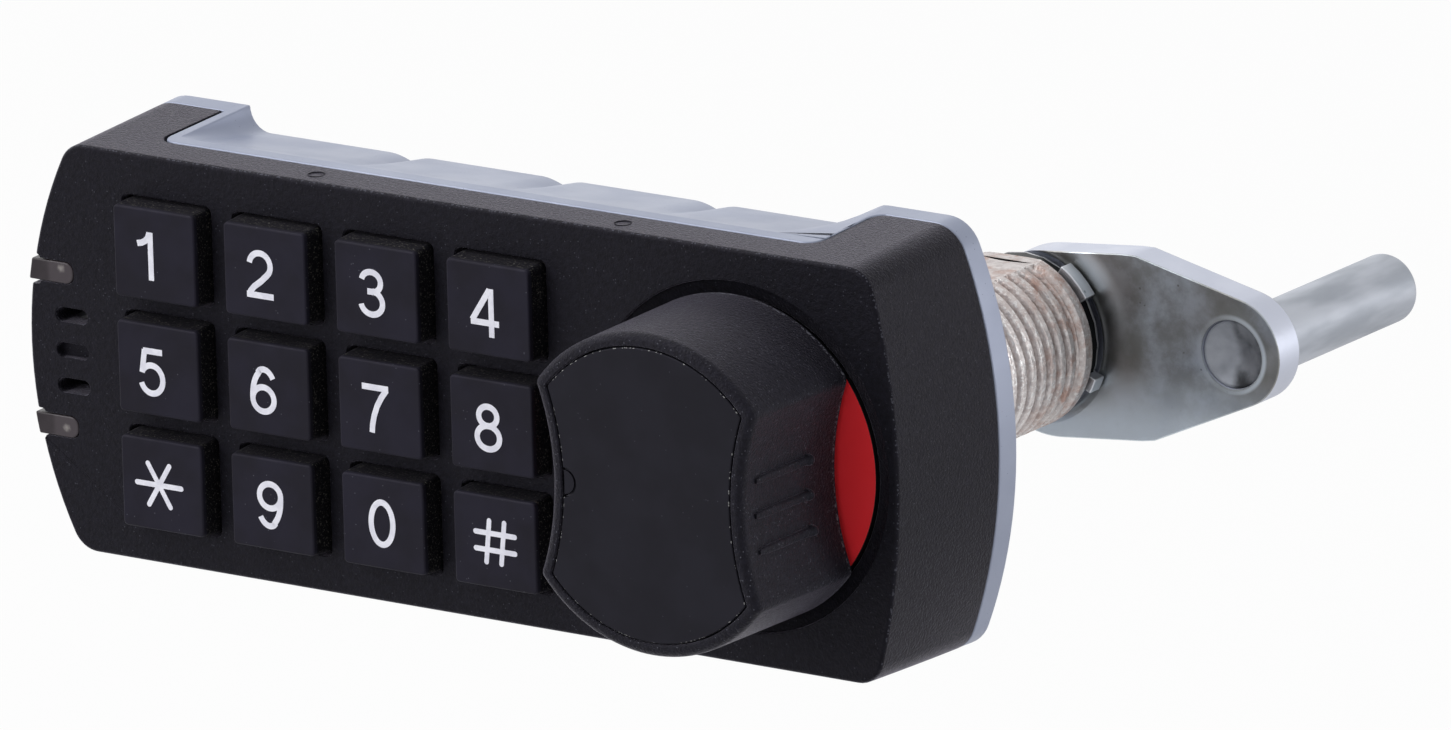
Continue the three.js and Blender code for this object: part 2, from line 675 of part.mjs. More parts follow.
// Twelve rubber keys, each held behind the cover by its flange
function keys() {
  for (const [name, x, z] of keySpots) {
    const ring = (grow, corner) =>
      roundedRectangle(x, z, KEY_WIDE + 2 * grow, KEY_TALL + 2 * grow, corner, CRUDE);
    const cap = loft([
      [KEY_FRONT, ring(-KEY_CHAMFER, KEY_CORNER)],
      [KEY_FRONT + KEY_CHAMFER, ring(0, KEY_CORNER)],
      [FLANGE_FRONT, ring(KEY_FLARE, KEY_CORNER)],
      [FLANGE_FRONT, ring(KEY_FLARE + KEY_FLANGE, KEY_CORNER)],
      [KEY_BACK, ring(KEY_FLARE + KEY_FLANGE, KEY_CORNER)],
    ]);
    addPiece(`key_${name}`, cap, RUBBER);
  }
}

// Silicone mat with a dome under each key
function keypadMat() {
  const [left, right] = [keySpots[0][1], -KEYPAD_RIGHT];
  const high = 2 * KEY_PITCH_Z + KEY_TALL + 2 * MAT_MARGIN;
  const wide = right - left + KEY_WIDE + 2 * MAT_MARGIN;
  const ring = roundedRectangle((left + right) / 2, -KEYPAD_DROP, wide, high, MAT_CORNER, CRUDE);
  const domes = keySpots.map(([, x, z]) =>
    turned(
      [
        [0, DOME_TOP],
        [DOME_RADIUS / 2, DOME_TOP],
        [DOME_RADIUS, MAT_FRONT],
        [DOME_RADIUS, MAT_FRONT + MAT_THICK / 2],
        [0, MAT_FRONT + MAT_THICK / 2],
      ],
      CRUDE,
      x,
      z,
    ),
  );
  addPiece("keypad_mat", join(prism(ring, MAT_FRONT, MAT_BACK), ...domes), SILICONE);
}

// Circuit board, with its left corners cut off round the cover's bosses
function circuitBoard() {
  const field = rectangle(
    -REACH_LEFT - OVERRUN,
    -HALF_HEIGHT,
    -BOARD_RIGHT,
    BLOCK_UNDERSIDE - GAP,
  );
  const inside = bodySlice(BOARD_FRONT, BOARD_BACK, SIDE_WALL + GAP);
  const board = inside.intersect(prism(field, BOARD_FRONT - OVERRUN, BOARD_BACK + OVERRUN));
  const notches = [1, -1].map((side) => {
    const ring = rectangle(
      -2 * REACH_LEFT,
      side * (BOSS_LEFT_RISE - BOARD_NOTCH),
      -BOSS_LEFT + BOARD_NOTCH,
      side * 2 * HALF_HEIGHT,
    );
    return prism(ring, BOARD_FRONT - OVERRUN, BOARD_BACK + OVERRUN);
  });
  addPiece("circuit_board", cut(board, ...notches), BOARD_GREEN);
}

// Round sounder behind the slots, with its port towards them
function sounder() {
  const front = FACE_BACK + GAP;
  const back = BOARD_FRONT - GAP;
  const middle = -SLOT_X + SOUNDER_PORT;
  const body = turned(
    [
      [0, front],
      [SOUNDER_RADIUS - SOUNDER_CHAMFER, front],
      [SOUNDER_RADIUS, front + SOUNDER_CHAMFER],
      [SOUNDER_RADIUS, back],
      [0, back],
    ],
    ROUND,
    middle,
    -WINDOW_DROP,
  );
  const port = rod(SOUNDER_PORT, front - OVERRUN, front + SOUNDER_PORT, COARSE, middle, -WINDOW_DROP);
  addPiece("sounder", cut(body, port), BLACK_COVER);
}

const cellSpots = [
  ["left", -CELL_MIDDLE - CELL_PITCH / 2],
  ["right", -CELL_MIDDLE + CELL_PITCH / 2],
];

// Tray on the base plate with a round pocket for each cell
function batteryTray() {
  const floor = FLOOR - TRAY_FLOOR;
  const rim = BOARD_BACK + GAP;
  const wide = TRAY_LEFT - TRAY_RIGHT;
  const high = 2 * (CELL_POCKET + TRAY_WALL);
  const ring = roundedRectangle(-CELL_MIDDLE, 0, wide, high, TRAY_CORNER, COARSE);
  const pockets = cellSpots.map(([, x]) => rod(CELL_POCKET, rim - OVERRUN, floor, ROUND, x));
  addPiece("battery_tray", cut(prism(ring, rim, FLOOR), ...pockets), GREY_PLASTIC);
}

function coinCells() {
  const core = CELL_RADIUS - 2 * CELL_STEP;
  for (const [side, x] of cellSpots) {
    const cell = turned(
      [
        [0, CELL_FRONT],
        [core, CELL_FRONT],
        [core, CELL_FRONT + CELL_STEP],
        [CELL_RADIUS, CELL_FRONT + CELL_STEP],
        [CELL_RADIUS, CELL_BACK],
        [0, CELL_BACK],
      ],
      ROUND,
      x,
    );
    addPiece(`coin_cell_${side}`, cell, STEEL);
  }
}

// Leaf contacts: a foot under the board and a sloping leg down to the cell
function batteryContacts() {
  const top = BOARD_BACK + GAP;
  const bottom = CELL_FRONT - GAP;
  const t = CONTACT_THICK;
  for (const [side, x] of cellSpots) {
    const left = x - CONTACT_FOOT;
    const ring = [
      new THREE.Vector2(left, top),
      new THREE.Vector2(x, top),
      new THREE.Vector2(left + CONTACT_REACH, bottom - t),
      new THREE.Vector2(left + CONTACT_REACH + t, bottom - t),
      new THREE.Vector2(left + CONTACT_REACH + t, bottom),
      new THREE.Vector2(left + CONTACT_REACH - t, bottom),
      new THREE.Vector2(x - t, top + t),
      new THREE.Vector2(left, top + t),
    ];
    const leaf = prism(ring, -CONTACT_WIDE / 2, CONTACT_WIDE / 2, ALONG_Z);
    addPiece(`battery_contact_${side}`, leaf, BRASS);
  }
}

// Painted disc that shows beside the knob's waist
function statusDisc() {
  const disc = rod(BEZEL_INNER - GAP, DISC_FRONT, DISC_BACK, FINE);
  const hole = rod(SLEEVE_RADIUS, DISC_FRONT - OVERRUN, DISC_BACK + OVERRUN, ROUND);
  addPiece("status_disc", cut(disc, hole), STATUS_PAINT);
}

// Bridge under the disc: a round table on four legs, with a sleeve that guides the spindle
function bearingBridge() {
  const table = rod(BRIDGE_RADIUS, BRIDGE_FRONT, BRIDGE_BACK, FINE);
  const sleeve = rod(SLEEVE_RADIUS, BRIDGE_FRONT, SLEEVE_BACK, ROUND);
  const legs = [];
  for (let i = 0; i < LEGS; i++) {
    const angle = (i + 0.5) * QUARTER;
    const x = LEG_CIRCLE * Math.cos(angle);
    const z = LEG_CIRCLE * Math.sin(angle);
    legs.push(rod(LEG_RADIUS, BRIDGE_BACK - BRIDGE_THICK / 2, FLOOR, COARSE, x, z));
  }
  const bore = rod(SPINDLE_RADIUS + GAP, BRIDGE_FRONT - OVERRUN, SLEEVE_BACK + OVERRUN, ROUND);
  addPiece("bearing_bridge", cut(join(table, sleeve, ...legs), bore), GREY_PLASTIC);
}

// The knob's outline: a circle with a concave waist on its left and right, drawn in by an inset
function knobRing(inset) {
  const radius = KNOB_RADIUS - inset;
  const waist = WAIST_RADIUS + inset;
  const centre = KNOB_WAIST + WAIST_RADIUS;
  const corner = Math.max(KNOB_CORNER - inset, KNOB_CORNER_LEAST);
  const x = ((radius - corner) ** 2 - (waist + corner) ** 2 + centre ** 2) / (2 * centre);
  const z = Math.sqrt((radius - corner) ** 2 - x ** 2);
  const outer = Math.atan2(z, x);
  const inner = Math.atan2(z, centre - x);
  const side = (turn) => {
    const points = [
      ...arc(centre, 0, waist, 2 * QUARTER + inner, 2 * QUARTER - inner, ROUND + 2),
      ...arc(x, z, corner, -inner, outer, COARSE).slice(1),
      ...arc(0, 0, radius, outer, 2 * QUARTER - outer, ROUND + 2).slice(1),
      ...arc(-x, z, corner, 2 * QUARTER - outer, 2 * QUARTER + inner, COARSE).slice(1, -1),
    ];
    return points.map((p) => p.rotateAround(new THREE.Vector2(), turn));
  };
  return [...side(0), ...side(2 * QUARTER)];
}

// Grip ribs in the waist, tapering towards the front
function gripRibs() {
  const ribs = [];
  const front = KNOB_FRONT + KNOB_ROUND + RIM;
  for (const side of [1, -1]) {
    for (let i = 0; i < RIBS; i++) {
      const z = side * ((i - (RIBS - 1) / 2) * RIB_PITCH - RIB_OFFSET);
      const surface = KNOB_WAIST + WAIST_RADIUS - Math.sqrt(WAIST_RADIUS ** 2 - z ** 2);
      const ring = (proud, half) =>
        [
          [surface - RIM, z - half],
          [surface, z - half],
          [surface + proud, z],
          [surface, z + half],
          [surface - RIM, z + half],
        ].map(([u, v]) => new THREE.Vector2(side * u, v));
      const back = front + RIB_LONG;
      ribs.push(loft([
        [front, ring(RIB_FADE, RIB_HALF / 2)],
        [back - RIB_HALF, ring(RIB_PROUD, RIB_HALF)],
        [back, ring(RIB_FADE, RIB_HALF)],
      ]));
    }
  }
  return ribs;
}

// Knob shell: waisted grip, pocket for the face plate, square hub inside
function knob() {
  const rim = ROUNDING_SHARES.map((share) => {
    const angle = share * QUARTER;
    const inset = KNOB_DRAFT + KNOB_ROUND * (1 - Math.sin(angle));
    return [KNOB_FRONT + KNOB_ROUND * (1 - Math.cos(angle)), knobRing(inset)];
  });
  const shell = loft([...rim, [KNOB_BACK, knobRing(0)]]);
  const pocket = prism(knobRing(KNOB_DRAFT + RIM), KNOB_FRONT - OVERRUN, POCKET_FLOOR);
  const cavity = prism(knobRing(KNOB_WALL), KNOB_CEILING, KNOB_BACK + OVERRUN);
  const hub = rod(HUB_RADIUS, KNOB_CEILING - KNOB_ROOF / 2, KNOB_BACK, ROUND);
  const half = SPINDLE_SQUARE / 2 + GAP;
  const socket = prism(rectangle(-half, -half, half, half), KNOB_CEILING, KNOB_BACK + OVERRUN);
  const head = KNOB_SCREW_HEAD + GAP;
  const shank = KNOB_SCREW_SHANK + GAP;
  const seat = POCKET_FLOOR + KNOB_SCREW_HEAD_LONG + 2 * GAP;
  const screwHole = turned(
    [
      [0, POCKET_FLOOR - OVERRUN],
      [head, POCKET_FLOOR - OVERRUN],
      [head, seat],
      [shank, seat],
      [shank, KNOB_CEILING + OVERRUN],
      [0, KNOB_CEILING + OVERRUN],
    ],
    COARSE,
  );
  const grip = join(cut(join(shell, ...gripRibs()), cavity), hub);
  addPiece("knob", cut(grip, pocket, socket, screwHole), BLACK_KNOB);
}

// Bare face plate with a half-round pry notch at its left edge
function faceplate() {
  const ring = knobRing(KNOB_DRAFT + RIM + SEAM);
  const plate = prism(ring, KNOB_FRONT + SEAM, KNOB_FRONT + FACE_THICK);
  const edge = -(KNOB_WAIST - KNOB_DRAFT - RIM - SEAM);
  const notch = rod(PRY_RADIUS, KNOB_FRONT - OVERRUN, KNOB_FRONT + SEAM + PRY_DEPTH, COARSE, edge);
  addPiece("knob_face_plate", cut(plate, notch), BLACK_FACE);
}

// A round neck with flats above and below, for the cylinder and for the hole it sits in
function cylinderFlats(radius, flat, from, to, perQuarter) {
  const slab = prism(rectangle(-2 * radius, -flat, 2 * radius, flat), from, to);
  return rod(radius, from, to, perQuarter).intersect(slab);
}

// Round bar with a helical thread between two depths: each row of points climbs one pitch per turn
function threadedBar(from, to) {
  const perPitch = THREAD_SHARES.length;
  const root = THREAD_RADIUS - THREAD_DEPTH;
  const radii = [root, root, THREAD_RADIUS, THREAD_RADIUS];
  const turns = Math.ceil((to - from) / THREAD_PITCH) + 1;
  const rows = turns * perPitch;
  const profile = [new THREE.Vector2(0, from)];
  for (let row = 0; row <= rows; row++) profile.push(new THREE.Vector2(root, from));
  profile.push(new THREE.Vector2(0, to));
  const geometry = new THREE.LatheGeometry(profile, THREAD_STEPS);
  const position = geometry.attributes.position;
  for (let step = 0; step <= THREAD_STEPS; step++) {
    const angle = (step / THREAD_STEPS) * 4 * QUARTER;
    for (let row = 0; row <= rows; row++) {
      const share = THREAD_SHARES[row % perPitch] + step / THREAD_STEPS;
      const y = from + (Math.floor(row / perPitch) + share - 1) * THREAD_PITCH;
      const inside = y > from && y < to;
      const radius = inside ? radii[row % perPitch] : root;
      const held = THREE.MathUtils.clamp(y, from, to);
      const at = step * profile.length + row + 1;
      position.setXYZ(at, radius * Math.sin(angle), held, radius * Math.cos(angle));
    }
  }
  return solid(geometry);
}

// Cylinder through the door: inner flange, plain neck, thread, end collar, two flats and a bore
function threadedCylinder() {
  const front = FLOOR - CYLINDER_FLANGE_THICK;
  const collar = CYLINDER_LONG - CYLINDER_COLLAR;
  const root = THREAD_RADIUS - THREAD_DEPTH;
  const neck = rod(root, front, CYLINDER_NECK, THREAD_STEPS / 4);
  const thread = threadedBar(CYLINDER_NECK - THREAD_PITCH, collar + THREAD_PITCH / 2);
  const end = turned(
    [
      [0, collar - THREAD_PITCH / 2],
      [root - COLLAR_CHAMFER, collar - THREAD_PITCH / 2],
      [THREAD_RADIUS, collar],
      [THREAD_RADIUS, CYLINDER_LONG - COLLAR_CHAMFER],
      [THREAD_RADIUS - COLLAR_CHAMFER, CYLINDER_LONG],
      [0, CYLINDER_LONG],
    ],
    THREAD_STEPS / 4,
  );
  const wide = 2 * THREAD_RADIUS;
  const slab = prism(rectangle(-wide, -CYLINDER_FLAT, wide, CYLINDER_FLAT), front, CYLINDER_LONG);
  const flange = rod(CYLINDER_FLANGE, front, FLOOR, ROUND);
  const bore = rod(SPINDLE_RADIUS + GAP, front - OVERRUN, CYLINDER_LONG + OVERRUN, ROUND);
  const [x, z] = stopPinSpot();
  const pinFoot = CYLINDER_LONG - STOP_PIN_SUNK;
  const pinHole = rod(STOP_PIN_RADIUS + GAP, pinFoot - GAP, CYLINDER_LONG + OVERRUN, CRUDE, x, z);
  const body = join(join(neck, thread, end).intersect(slab), flange);
  addPiece("threaded_cylinder", cut(body, bore, pinHole), NICKEL);
}

// The stop pin stands where the washer's slot begins, on the side away from the cam's turn
function stopPinSpot() {
  const angle = rad(180 + TURN_DEG / 2);
  return [STOP_CIRCLE * Math.cos(angle), STOP_CIRCLE * Math.sin(angle)];
}

function stopPin() {
  const [x, z] = stopPinSpot();
  const foot = CYLINDER_LONG - STOP_PIN_SUNK;
  const head = CYLINDER_LONG + STOP_PIN_PROUD;
  addPiece("stop_pin", rod(STOP_PIN_RADIUS, foot, head, CRUDE, x, z), STEEL);
}

// Stop washer: a square-bored disc with two tabs and a slot as long as the turn
function stopWasher() {
  const slotEnd = rad(180 + TURN_DEG / 2);
  const slotStart = slotEnd - rad(TURN_DEG);
  const half = STOP_PIN_RADIUS + GAP;
  const far = [STOP_CIRCLE * Math.cos(slotStart), STOP_CIRCLE * Math.sin(slotStart)];
  const slotRing = [
    ...arc(0, 0, STOP_CIRCLE + half, slotStart, slotEnd, ROUND),
    ...arc(...stopPinSpot(), half, slotEnd, slotEnd + 2 * QUARTER, COARSE).slice(1),
    ...arc(0, 0, STOP_CIRCLE - half, slotEnd, slotStart, ROUND).slice(1),
    ...arc(...far, half, slotStart + 2 * QUARTER, slotStart + 4 * QUARTER, COARSE).slice(1, -1),
  ];
  const tabs = WASHER_TABS_DEG.map(([from, to]) => {
    const outer = arc(0, 0, WASHER_TAB, rad(from), rad(to), COARSE);
    const inner = arc(0, 0, STOP_CIRCLE, rad(to), rad(from), COARSE);
    return prism([...outer, ...inner], WASHER_FRONT, WASHER_BACK);
  });
  const disc = join(rod(WASHER_RADIUS, WASHER_FRONT, WASHER_BACK, ROUND), ...tabs);
  const slot = prism(slotRing, WASHER_FRONT - OVERRUN, WASHER_BACK + OVERRUN);
  addPiece("stop_washer", cut(disc, slot, squareBore(WASHER_FRONT, WASHER_BACK)), ZINC);
}

// A square hole over the spindle's end, turned with the cam
function squareBore(from, to) {
  const half = SPINDLE_SQUARE / 2 + GAP;
  return prism(turnedRing(rectangle(-half, -half, half, half)), from - OVERRUN, to + OVERRUN);
}

const turnedRing = (ring) =>
  ring.map((p) => p.clone().rotateAround(new THREE.Vector2(), rad(CAM_LEAN_DEG)));

// The cam's outline: rounded hub end, straight edges, shoulders, and a taper to the round tip
function camRing() {
  const reach = CAM_REACH - CAM_SHOULDER;
  const away = Math.hypot(reach, CAM_HALF);
  const tangent = Math.atan2(CAM_HALF, reach) - Math.asin(CAM_TIP / away);
  const tipFrom = QUARTER - tangent;
  const ring = [
    ...arc(CAM_REACH, 0, CAM_TIP, -tipFrom, tipFrom, ROUND),
    new THREE.Vector2(CAM_SHOULDER, CAM_HALF),
    ...arc(CAM_END_CENTRE, 0, CAM_HALF, QUARTER, 3 * QUARTER, ROUND + COARSE),
    new THREE.Vector2(CAM_SHOULDER, -CAM_HALF),
  ];
  return turnedRing(ring.map((p) => new THREE.Vector2(p.x, p.y - CAM_DROP)));
}

const camTip = () => turnedRing([new THREE.Vector2(CAM_REACH, -CAM_DROP - CAM_PIN_DROP)])[0];

// Cam plate with a coined hub dish, a square hole and the pin's countersunk hole
function camPlate() {
  const tip = camTip();
  const dish = turned(
    [
      [0, CAM_FRONT - DISH_DEPTH],
      [2 * DISH_OUTER - DISH_INNER, CAM_FRONT - DISH_DEPTH],
      [DISH_INNER, CAM_FRONT + DISH_DEPTH],
      [0, CAM_FRONT + DISH_DEPTH],
    ],
    ROUND,
  );
  const bore = RIVET_BORE + GAP;
  const mouth = turned(
    [
      [0, CAM_FRONT - RIVET_DISH_DEPTH],
      [2 * RIVET_DISH - bore, CAM_FRONT - RIVET_DISH_DEPTH],
      [bore, CAM_FRONT + RIVET_DISH_DEPTH],
      [bore, CAM_BACK + OVERRUN],
      [0, CAM_BACK + OVERRUN],
    ],
    ROUND,
    tip.x,
    tip.y,
  );
  const plate = prism(camRing(), CAM_FRONT, CAM_BACK);
  addPiece("cam_plate", cut(plate, dish, mouth, squareBore(CAM_FRONT, CAM_BACK)), ZINC);
}

// Riveted pin: its shank fills the plate's hole, with a dimple where it was set
function camPin() {
  const tip = camTip();
  const head = CAM_FRONT + RIVET_DISH_DEPTH;
  const collarFrom = CAM_BACK + GAP;
  const collarTo = collarFrom + CAM_COLLAR_LONG;
  const end = CAM_BACK + CAM_PIN_LONG;
  const pin = turned(
    [
      [0, head + RIVET_DIMPLE],
      [RIVET_BORE - RIVET_DIMPLE, head],
      [RIVET_BORE, head + RIVET_DIMPLE],
      [RIVET_BORE, collarFrom],
      [CAM_COLLAR, collarFrom],
      [CAM_COLLAR, collarFrom + CAM_COLLAR_LONG / 2],
      [CAM_PIN_RADIUS, collarTo],
      [CAM_PIN_RADIUS, end - CAM_PIN_CHAMFER],
      [CAM_PIN_RADIUS - CAM_PIN_CHAMFER / 3, end - CAM_PIN_CHAMFER / 3],
      [CAM_PIN_RADIUS - CAM_PIN_CHAMFER, end],
      [0, end],
    ],
    ROUND,
    tip.x,
    tip.y,
  );
  addPiece("cam_pin", pin, STEEL);
}

// Spindle from the knob to the cam: square at both ends, flatted where the rotor sits
function spindle() {
  const shoulder = KNOB_BACK + GAP;
  const cylinderEnd = WASHER_FRONT - GAP;
  const end = CAM_BACK - GAP;
  const half = SPINDLE_SQUARE / 2;
  const head = prism(rectangle(-half, -half, half, half), SPINDLE_FRONT, shoulder + half);
  const shaft = rod(SPINDLE_RADIUS, shoulder, cylinderEnd, ROUND);
  const tail = prism(turnedRing(rectangle(-half, -half, half, half)), cylinderEnd - half, end);
  const flat = prism(
    rectangle(SPINDLE_FLAT, -SPINDLE_RADIUS, 2 * SPINDLE_RADIUS, SPINDLE_RADIUS),
    ROTOR_FRONT - GAP,
    ROTOR_FRONT + ROTOR_THICK + GAP,
  );
  const frontEnd = SPINDLE_FRONT + KNOB_SCREW_LONG;
  const frontHole = rod(KNOB_SCREW_SHANK + GAP, SPINDLE_FRONT - OVERRUN, frontEnd, CRUDE);
  const backHole = rod(CAM_SCREW_SHANK + GAP, end - CAM_SCREW_LONG, end + OVERRUN, CRUDE);
  addPiece("spindle", cut(join(head, shaft, tail), flat, frontHole, backHole), STEEL);
}

// Rotor that the plunger locks: a disc with a notch for each end of the turn
function lockRotor() {
  const back = ROTOR_FRONT + ROTOR_THICK;
  const disc = rod(ROTOR_RADIUS, ROTOR_FRONT, back, ROUND);
  const round = rod(SPINDLE_RADIUS + GAP, ROTOR_FRONT - OVERRUN, back + OVERRUN, ROUND);
  const keep = prism(
    rectangle(-2 * SPINDLE_RADIUS, -2 * SPINDLE_RADIUS, SPINDLE_FLAT + GAP, 2 * SPINDLE_RADIUS),
    ROTOR_FRONT - OVERRUN,
    back + OVERRUN,
  );
  const notches = [180, 180 - TURN_DEG].map((deg) => {
    const half = PLUNGER_RADIUS + ROTOR_NOTCH_CLEAR;
    const ring = rectangle(ROTOR_RADIUS - ROTOR_NOTCH_DEPTH, -half, ROTOR_RADIUS + OVERRUN, half);
    const at = ring.map((p) => p.rotateAround(new THREE.Vector2(), rad(deg)));
    return prism(at, ROTOR_FRONT - OVERRUN, back + OVERRUN);
  });
  addPiece("lock_rotor", cut(disc, round.intersect(keep), ...notches), ZINC);
}

// A solid turned about a line along X, at the rotor's depth
function turnedAlongX(profile, perQuarter) {
  const points = profile.map(([radius, x]) => new THREE.Vector2(radius, x));
  const geometry = new THREE.LatheGeometry(points, 4 * perQuarter);
  geometry.rotateZ(-QUARTER).translate(0, ROTOR_MIDDLE, 0);
  return solid(geometry);
}

// Solenoid and the plunger that it pushes into the rotor
function solenoidAndPlunger() {
  const mouth = -ROTOR_RADIUS - SOLENOID_CLEAR;
  const rear = mouth - SOLENOID_LONG;
  const waist = SOLENOID_RADIUS - SOLENOID_BAND;
  const band = SOLENOID_LONG * SOLENOID_END_SHARE;
  const can = turnedAlongX(
    [
      [0, rear],
      [SOLENOID_RADIUS, rear],
      [SOLENOID_RADIUS, rear + band],
      [waist, rear + band],
      [waist, mouth - band],
      [SOLENOID_RADIUS, mouth - band],
      [SOLENOID_RADIUS, mouth],
      [0, mouth],
    ],
    ROUND,
  );
  const bore = PLUNGER_RADIUS + GAP;
  const barrel = turnedAlongX(
    [
      [0, mouth - SOLENOID_BORE],
      [bore, mouth - SOLENOID_BORE],
      [bore, mouth + OVERRUN],
      [0, mouth + OVERRUN],
    ],
    COARSE,
  );
  addPiece("solenoid", cut(can, barrel), STEEL);
  const tip = -ROTOR_RADIUS - PLUNGER_BACK_OFF;
  const chamfer = PLUNGER_BACK_OFF;
  const plunger = turnedAlongX(
    [
      [0, tip - PLUNGER_LONG],
      [PLUNGER_RADIUS, tip - PLUNGER_LONG],
      [PLUNGER_RADIUS, tip - chamfer],
      [PLUNGER_RADIUS - chamfer, tip],
      [0, tip],
    ],
    COARSE,
  );
  addPiece("plunger", plunger, STEEL);
}

// A cross recess cut into a screw head whose top is at y, opening towards a sign along Y
function crossRecess(x, z, head, long, y, sign) {
  const reach = head * DRIVE_REACH_SHARE;
  const floor = y - sign * long * DRIVE_DEPTH_SHARE;
  const bar = (u, v) => prism(rectangle(x - u, z - v, x + u, z + v), floor, y + sign * OVERRUN);
  return join(bar(reach, DRIVE_HALF), bar(DRIVE_HALF, reach));
}

// Four countersunk screws hold the cover to the base, driven from behind
function coverScrews() {
  for (const [place, x, z] of screwSpots) {
    const top = -COVER_SCREW_SUNK;
    const neck = top - COVER_SCREW_HEAD_LONG;
    const screw = turned(
      [
        [0, neck - COVER_SCREW_LONG],
        [COVER_SCREW_SHANK, neck - COVER_SCREW_LONG],
        [COVER_SCREW_SHANK, neck],
        [COVER_SCREW_HEAD, neck],
        [COVER_SCREW_HEAD, top],
        [0, top],
      ],
      COARSE,
      x,
      z,
    );
    const recess = crossRecess(x, z, COVER_SCREW_HEAD, COVER_SCREW_HEAD_LONG, top, 1);
    addPiece(`cover_screw_${place}`, cut(screw, recess), STEEL);
  }
}

function knobScrew() {
  const top = POCKET_FLOOR + GAP;
  const neck = top + KNOB_SCREW_HEAD_LONG;
  const end = neck + KNOB_SCREW_LONG;
  const screw = turned(
    [
      [0, top],
      [KNOB_SCREW_HEAD, top],
      [KNOB_SCREW_HEAD, neck],
      [KNOB_SCREW_SHANK, neck],
      [KNOB_SCREW_SHANK, end],
      [0, end],
    ],
    COARSE,
  );
  const recess = crossRecess(0, 0, KNOB_SCREW_HEAD, KNOB_SCREW_HEAD_LONG, top, -1);
  addPiece("knob_screw", cut(screw, recess), STEEL);
}

// Washer and socket-head screw that hold the cam on the spindle's end
function camFastening() {
  const washerFront = CAM_BACK + GAP;
  const washerBack = washerFront + CAM_WASHER_THICK;
  const hole = rod(CAM_SCREW_SHANK + GAP, washerFront - OVERRUN, washerBack + OVERRUN, COARSE);
  addPiece("cam_washer", cut(rod(CAM_WASHER, washerFront, washerBack, ROUND), hole), ZINC);
  const neck = washerBack + GAP;
  const top = neck + CAM_SCREW_HEAD_LONG;
  const from = neck - CAM_SCREW_LONG;
  const screw = turned(
    [
      [0, from],
      [CAM_SCREW_SHANK, from],
      [CAM_SCREW_SHANK, neck],
      [CAM_SCREW_HEAD, neck],
      [CAM_SCREW_HEAD, top],
      [0, top],
    ],
    ROUND,
  );
  const hexagon = arc(0, 0, CAM_SCREW_SOCKET, 0, 4 * QUARTER, SOCKET_SIDES).slice(0, -1);
  addPiece("cam_screw", cut(screw, prism(hexagon, top - CAM_SCREW_SOCKET, top + OVERRUN)), STEEL);
}

baseCasting();
frontCover();
lightPipes();
keys();
keypadMat();
circuitBoard();
sounder();
batteryTray();
coinCells();
batteryContacts();
statusDisc();
bearingBridge();
knob();
faceplate();
threadedCylinder();
stopPin();
stopWasher();
camPlate();
camPin();
spindle();
lockRotor();
solenoidAndPlunger();
coverScrews();
knobScrew();
camFastening();

export default part;
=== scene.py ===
"""Looks of an electronic combination cam lock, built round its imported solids."""

import logging
import math
from collections.abc import Iterable, Iterator, Sequence
from contextlib import contextmanager
from dataclasses import dataclass, field
from enum import Enum

import bmesh
import bpy
from mathutils import Matrix, Vector


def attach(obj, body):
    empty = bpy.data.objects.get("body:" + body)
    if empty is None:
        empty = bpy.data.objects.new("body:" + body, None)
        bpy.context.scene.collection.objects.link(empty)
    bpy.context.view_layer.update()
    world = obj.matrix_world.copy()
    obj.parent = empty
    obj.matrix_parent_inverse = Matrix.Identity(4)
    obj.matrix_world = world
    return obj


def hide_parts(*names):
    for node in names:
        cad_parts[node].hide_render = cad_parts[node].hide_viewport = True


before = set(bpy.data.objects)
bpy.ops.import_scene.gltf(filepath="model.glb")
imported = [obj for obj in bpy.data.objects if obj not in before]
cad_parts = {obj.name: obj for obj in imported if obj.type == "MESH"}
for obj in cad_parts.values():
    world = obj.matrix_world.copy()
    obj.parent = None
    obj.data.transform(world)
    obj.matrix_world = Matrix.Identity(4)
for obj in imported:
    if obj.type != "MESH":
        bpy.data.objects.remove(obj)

LOG = logging.getLogger("lock")
MM = 0.001
WELD = 2e-6
FLAT_WITHIN = 0.4
QUARTER = math.pi / 2
WHITE = (1, 1, 1, 1)
HOUSING = "housing"
DRIVE = "knob_drive"

Ring = list[tuple[float, float]]
Sections = list[tuple[float, Ring]]
Faces = list[Sequence[int]]
Colour = tuple[float, float, float, float]
Rows = tuple[tuple[float, ...], ...]
Piece = bpy.types.Object


class Lay(Enum):
    """How a ring's u, v and the loft's distance w are laid into space."""

    ALONG_Y = (0, 2, 1)
    ALONG_Z = (0, 1, 2)


class Operation(Enum):
    """The ways in which tools act on a solid."""

    CUT = "DIFFERENCE"
    JOIN = "UNION"
    KEEP = "INTERSECT"


def lerp(start: float, end: float, share: float) -> float:
    """Returns the value that lies a share of the way from start to end."""
    return start + (end - start) * share


def paint(code: str) -> Colour:
    """Turns a colour code of six hex digits into opaque linear light."""
    parts = [int(code[i : i + 2], 16) / 255 for i in (0, 2, 4)]
    return *(p / 12.92 if p <= 0.04045 else ((p + 0.055) / 1.055) ** 2.4 for p in parts), 1.0


def arc(x: float, z: float, radius: float, start: float, stop: float, steps: int) -> Ring:
    """Makes the points of an arc.

    Args:
        x: the centre's place across.
        z: the centre's place upwards.
        radius: the arc's radius.
        start: the first angle, in radians.
        stop: the last angle, in radians.
        steps: how many chords the arc has.

    Returns:
        The points from start to stop, both ends included.
    """
    angles = [lerp(start, stop, i / steps) for i in range(steps + 1)]
    return [(x + radius * math.cos(a), z + radius * math.sin(a)) for a in angles]


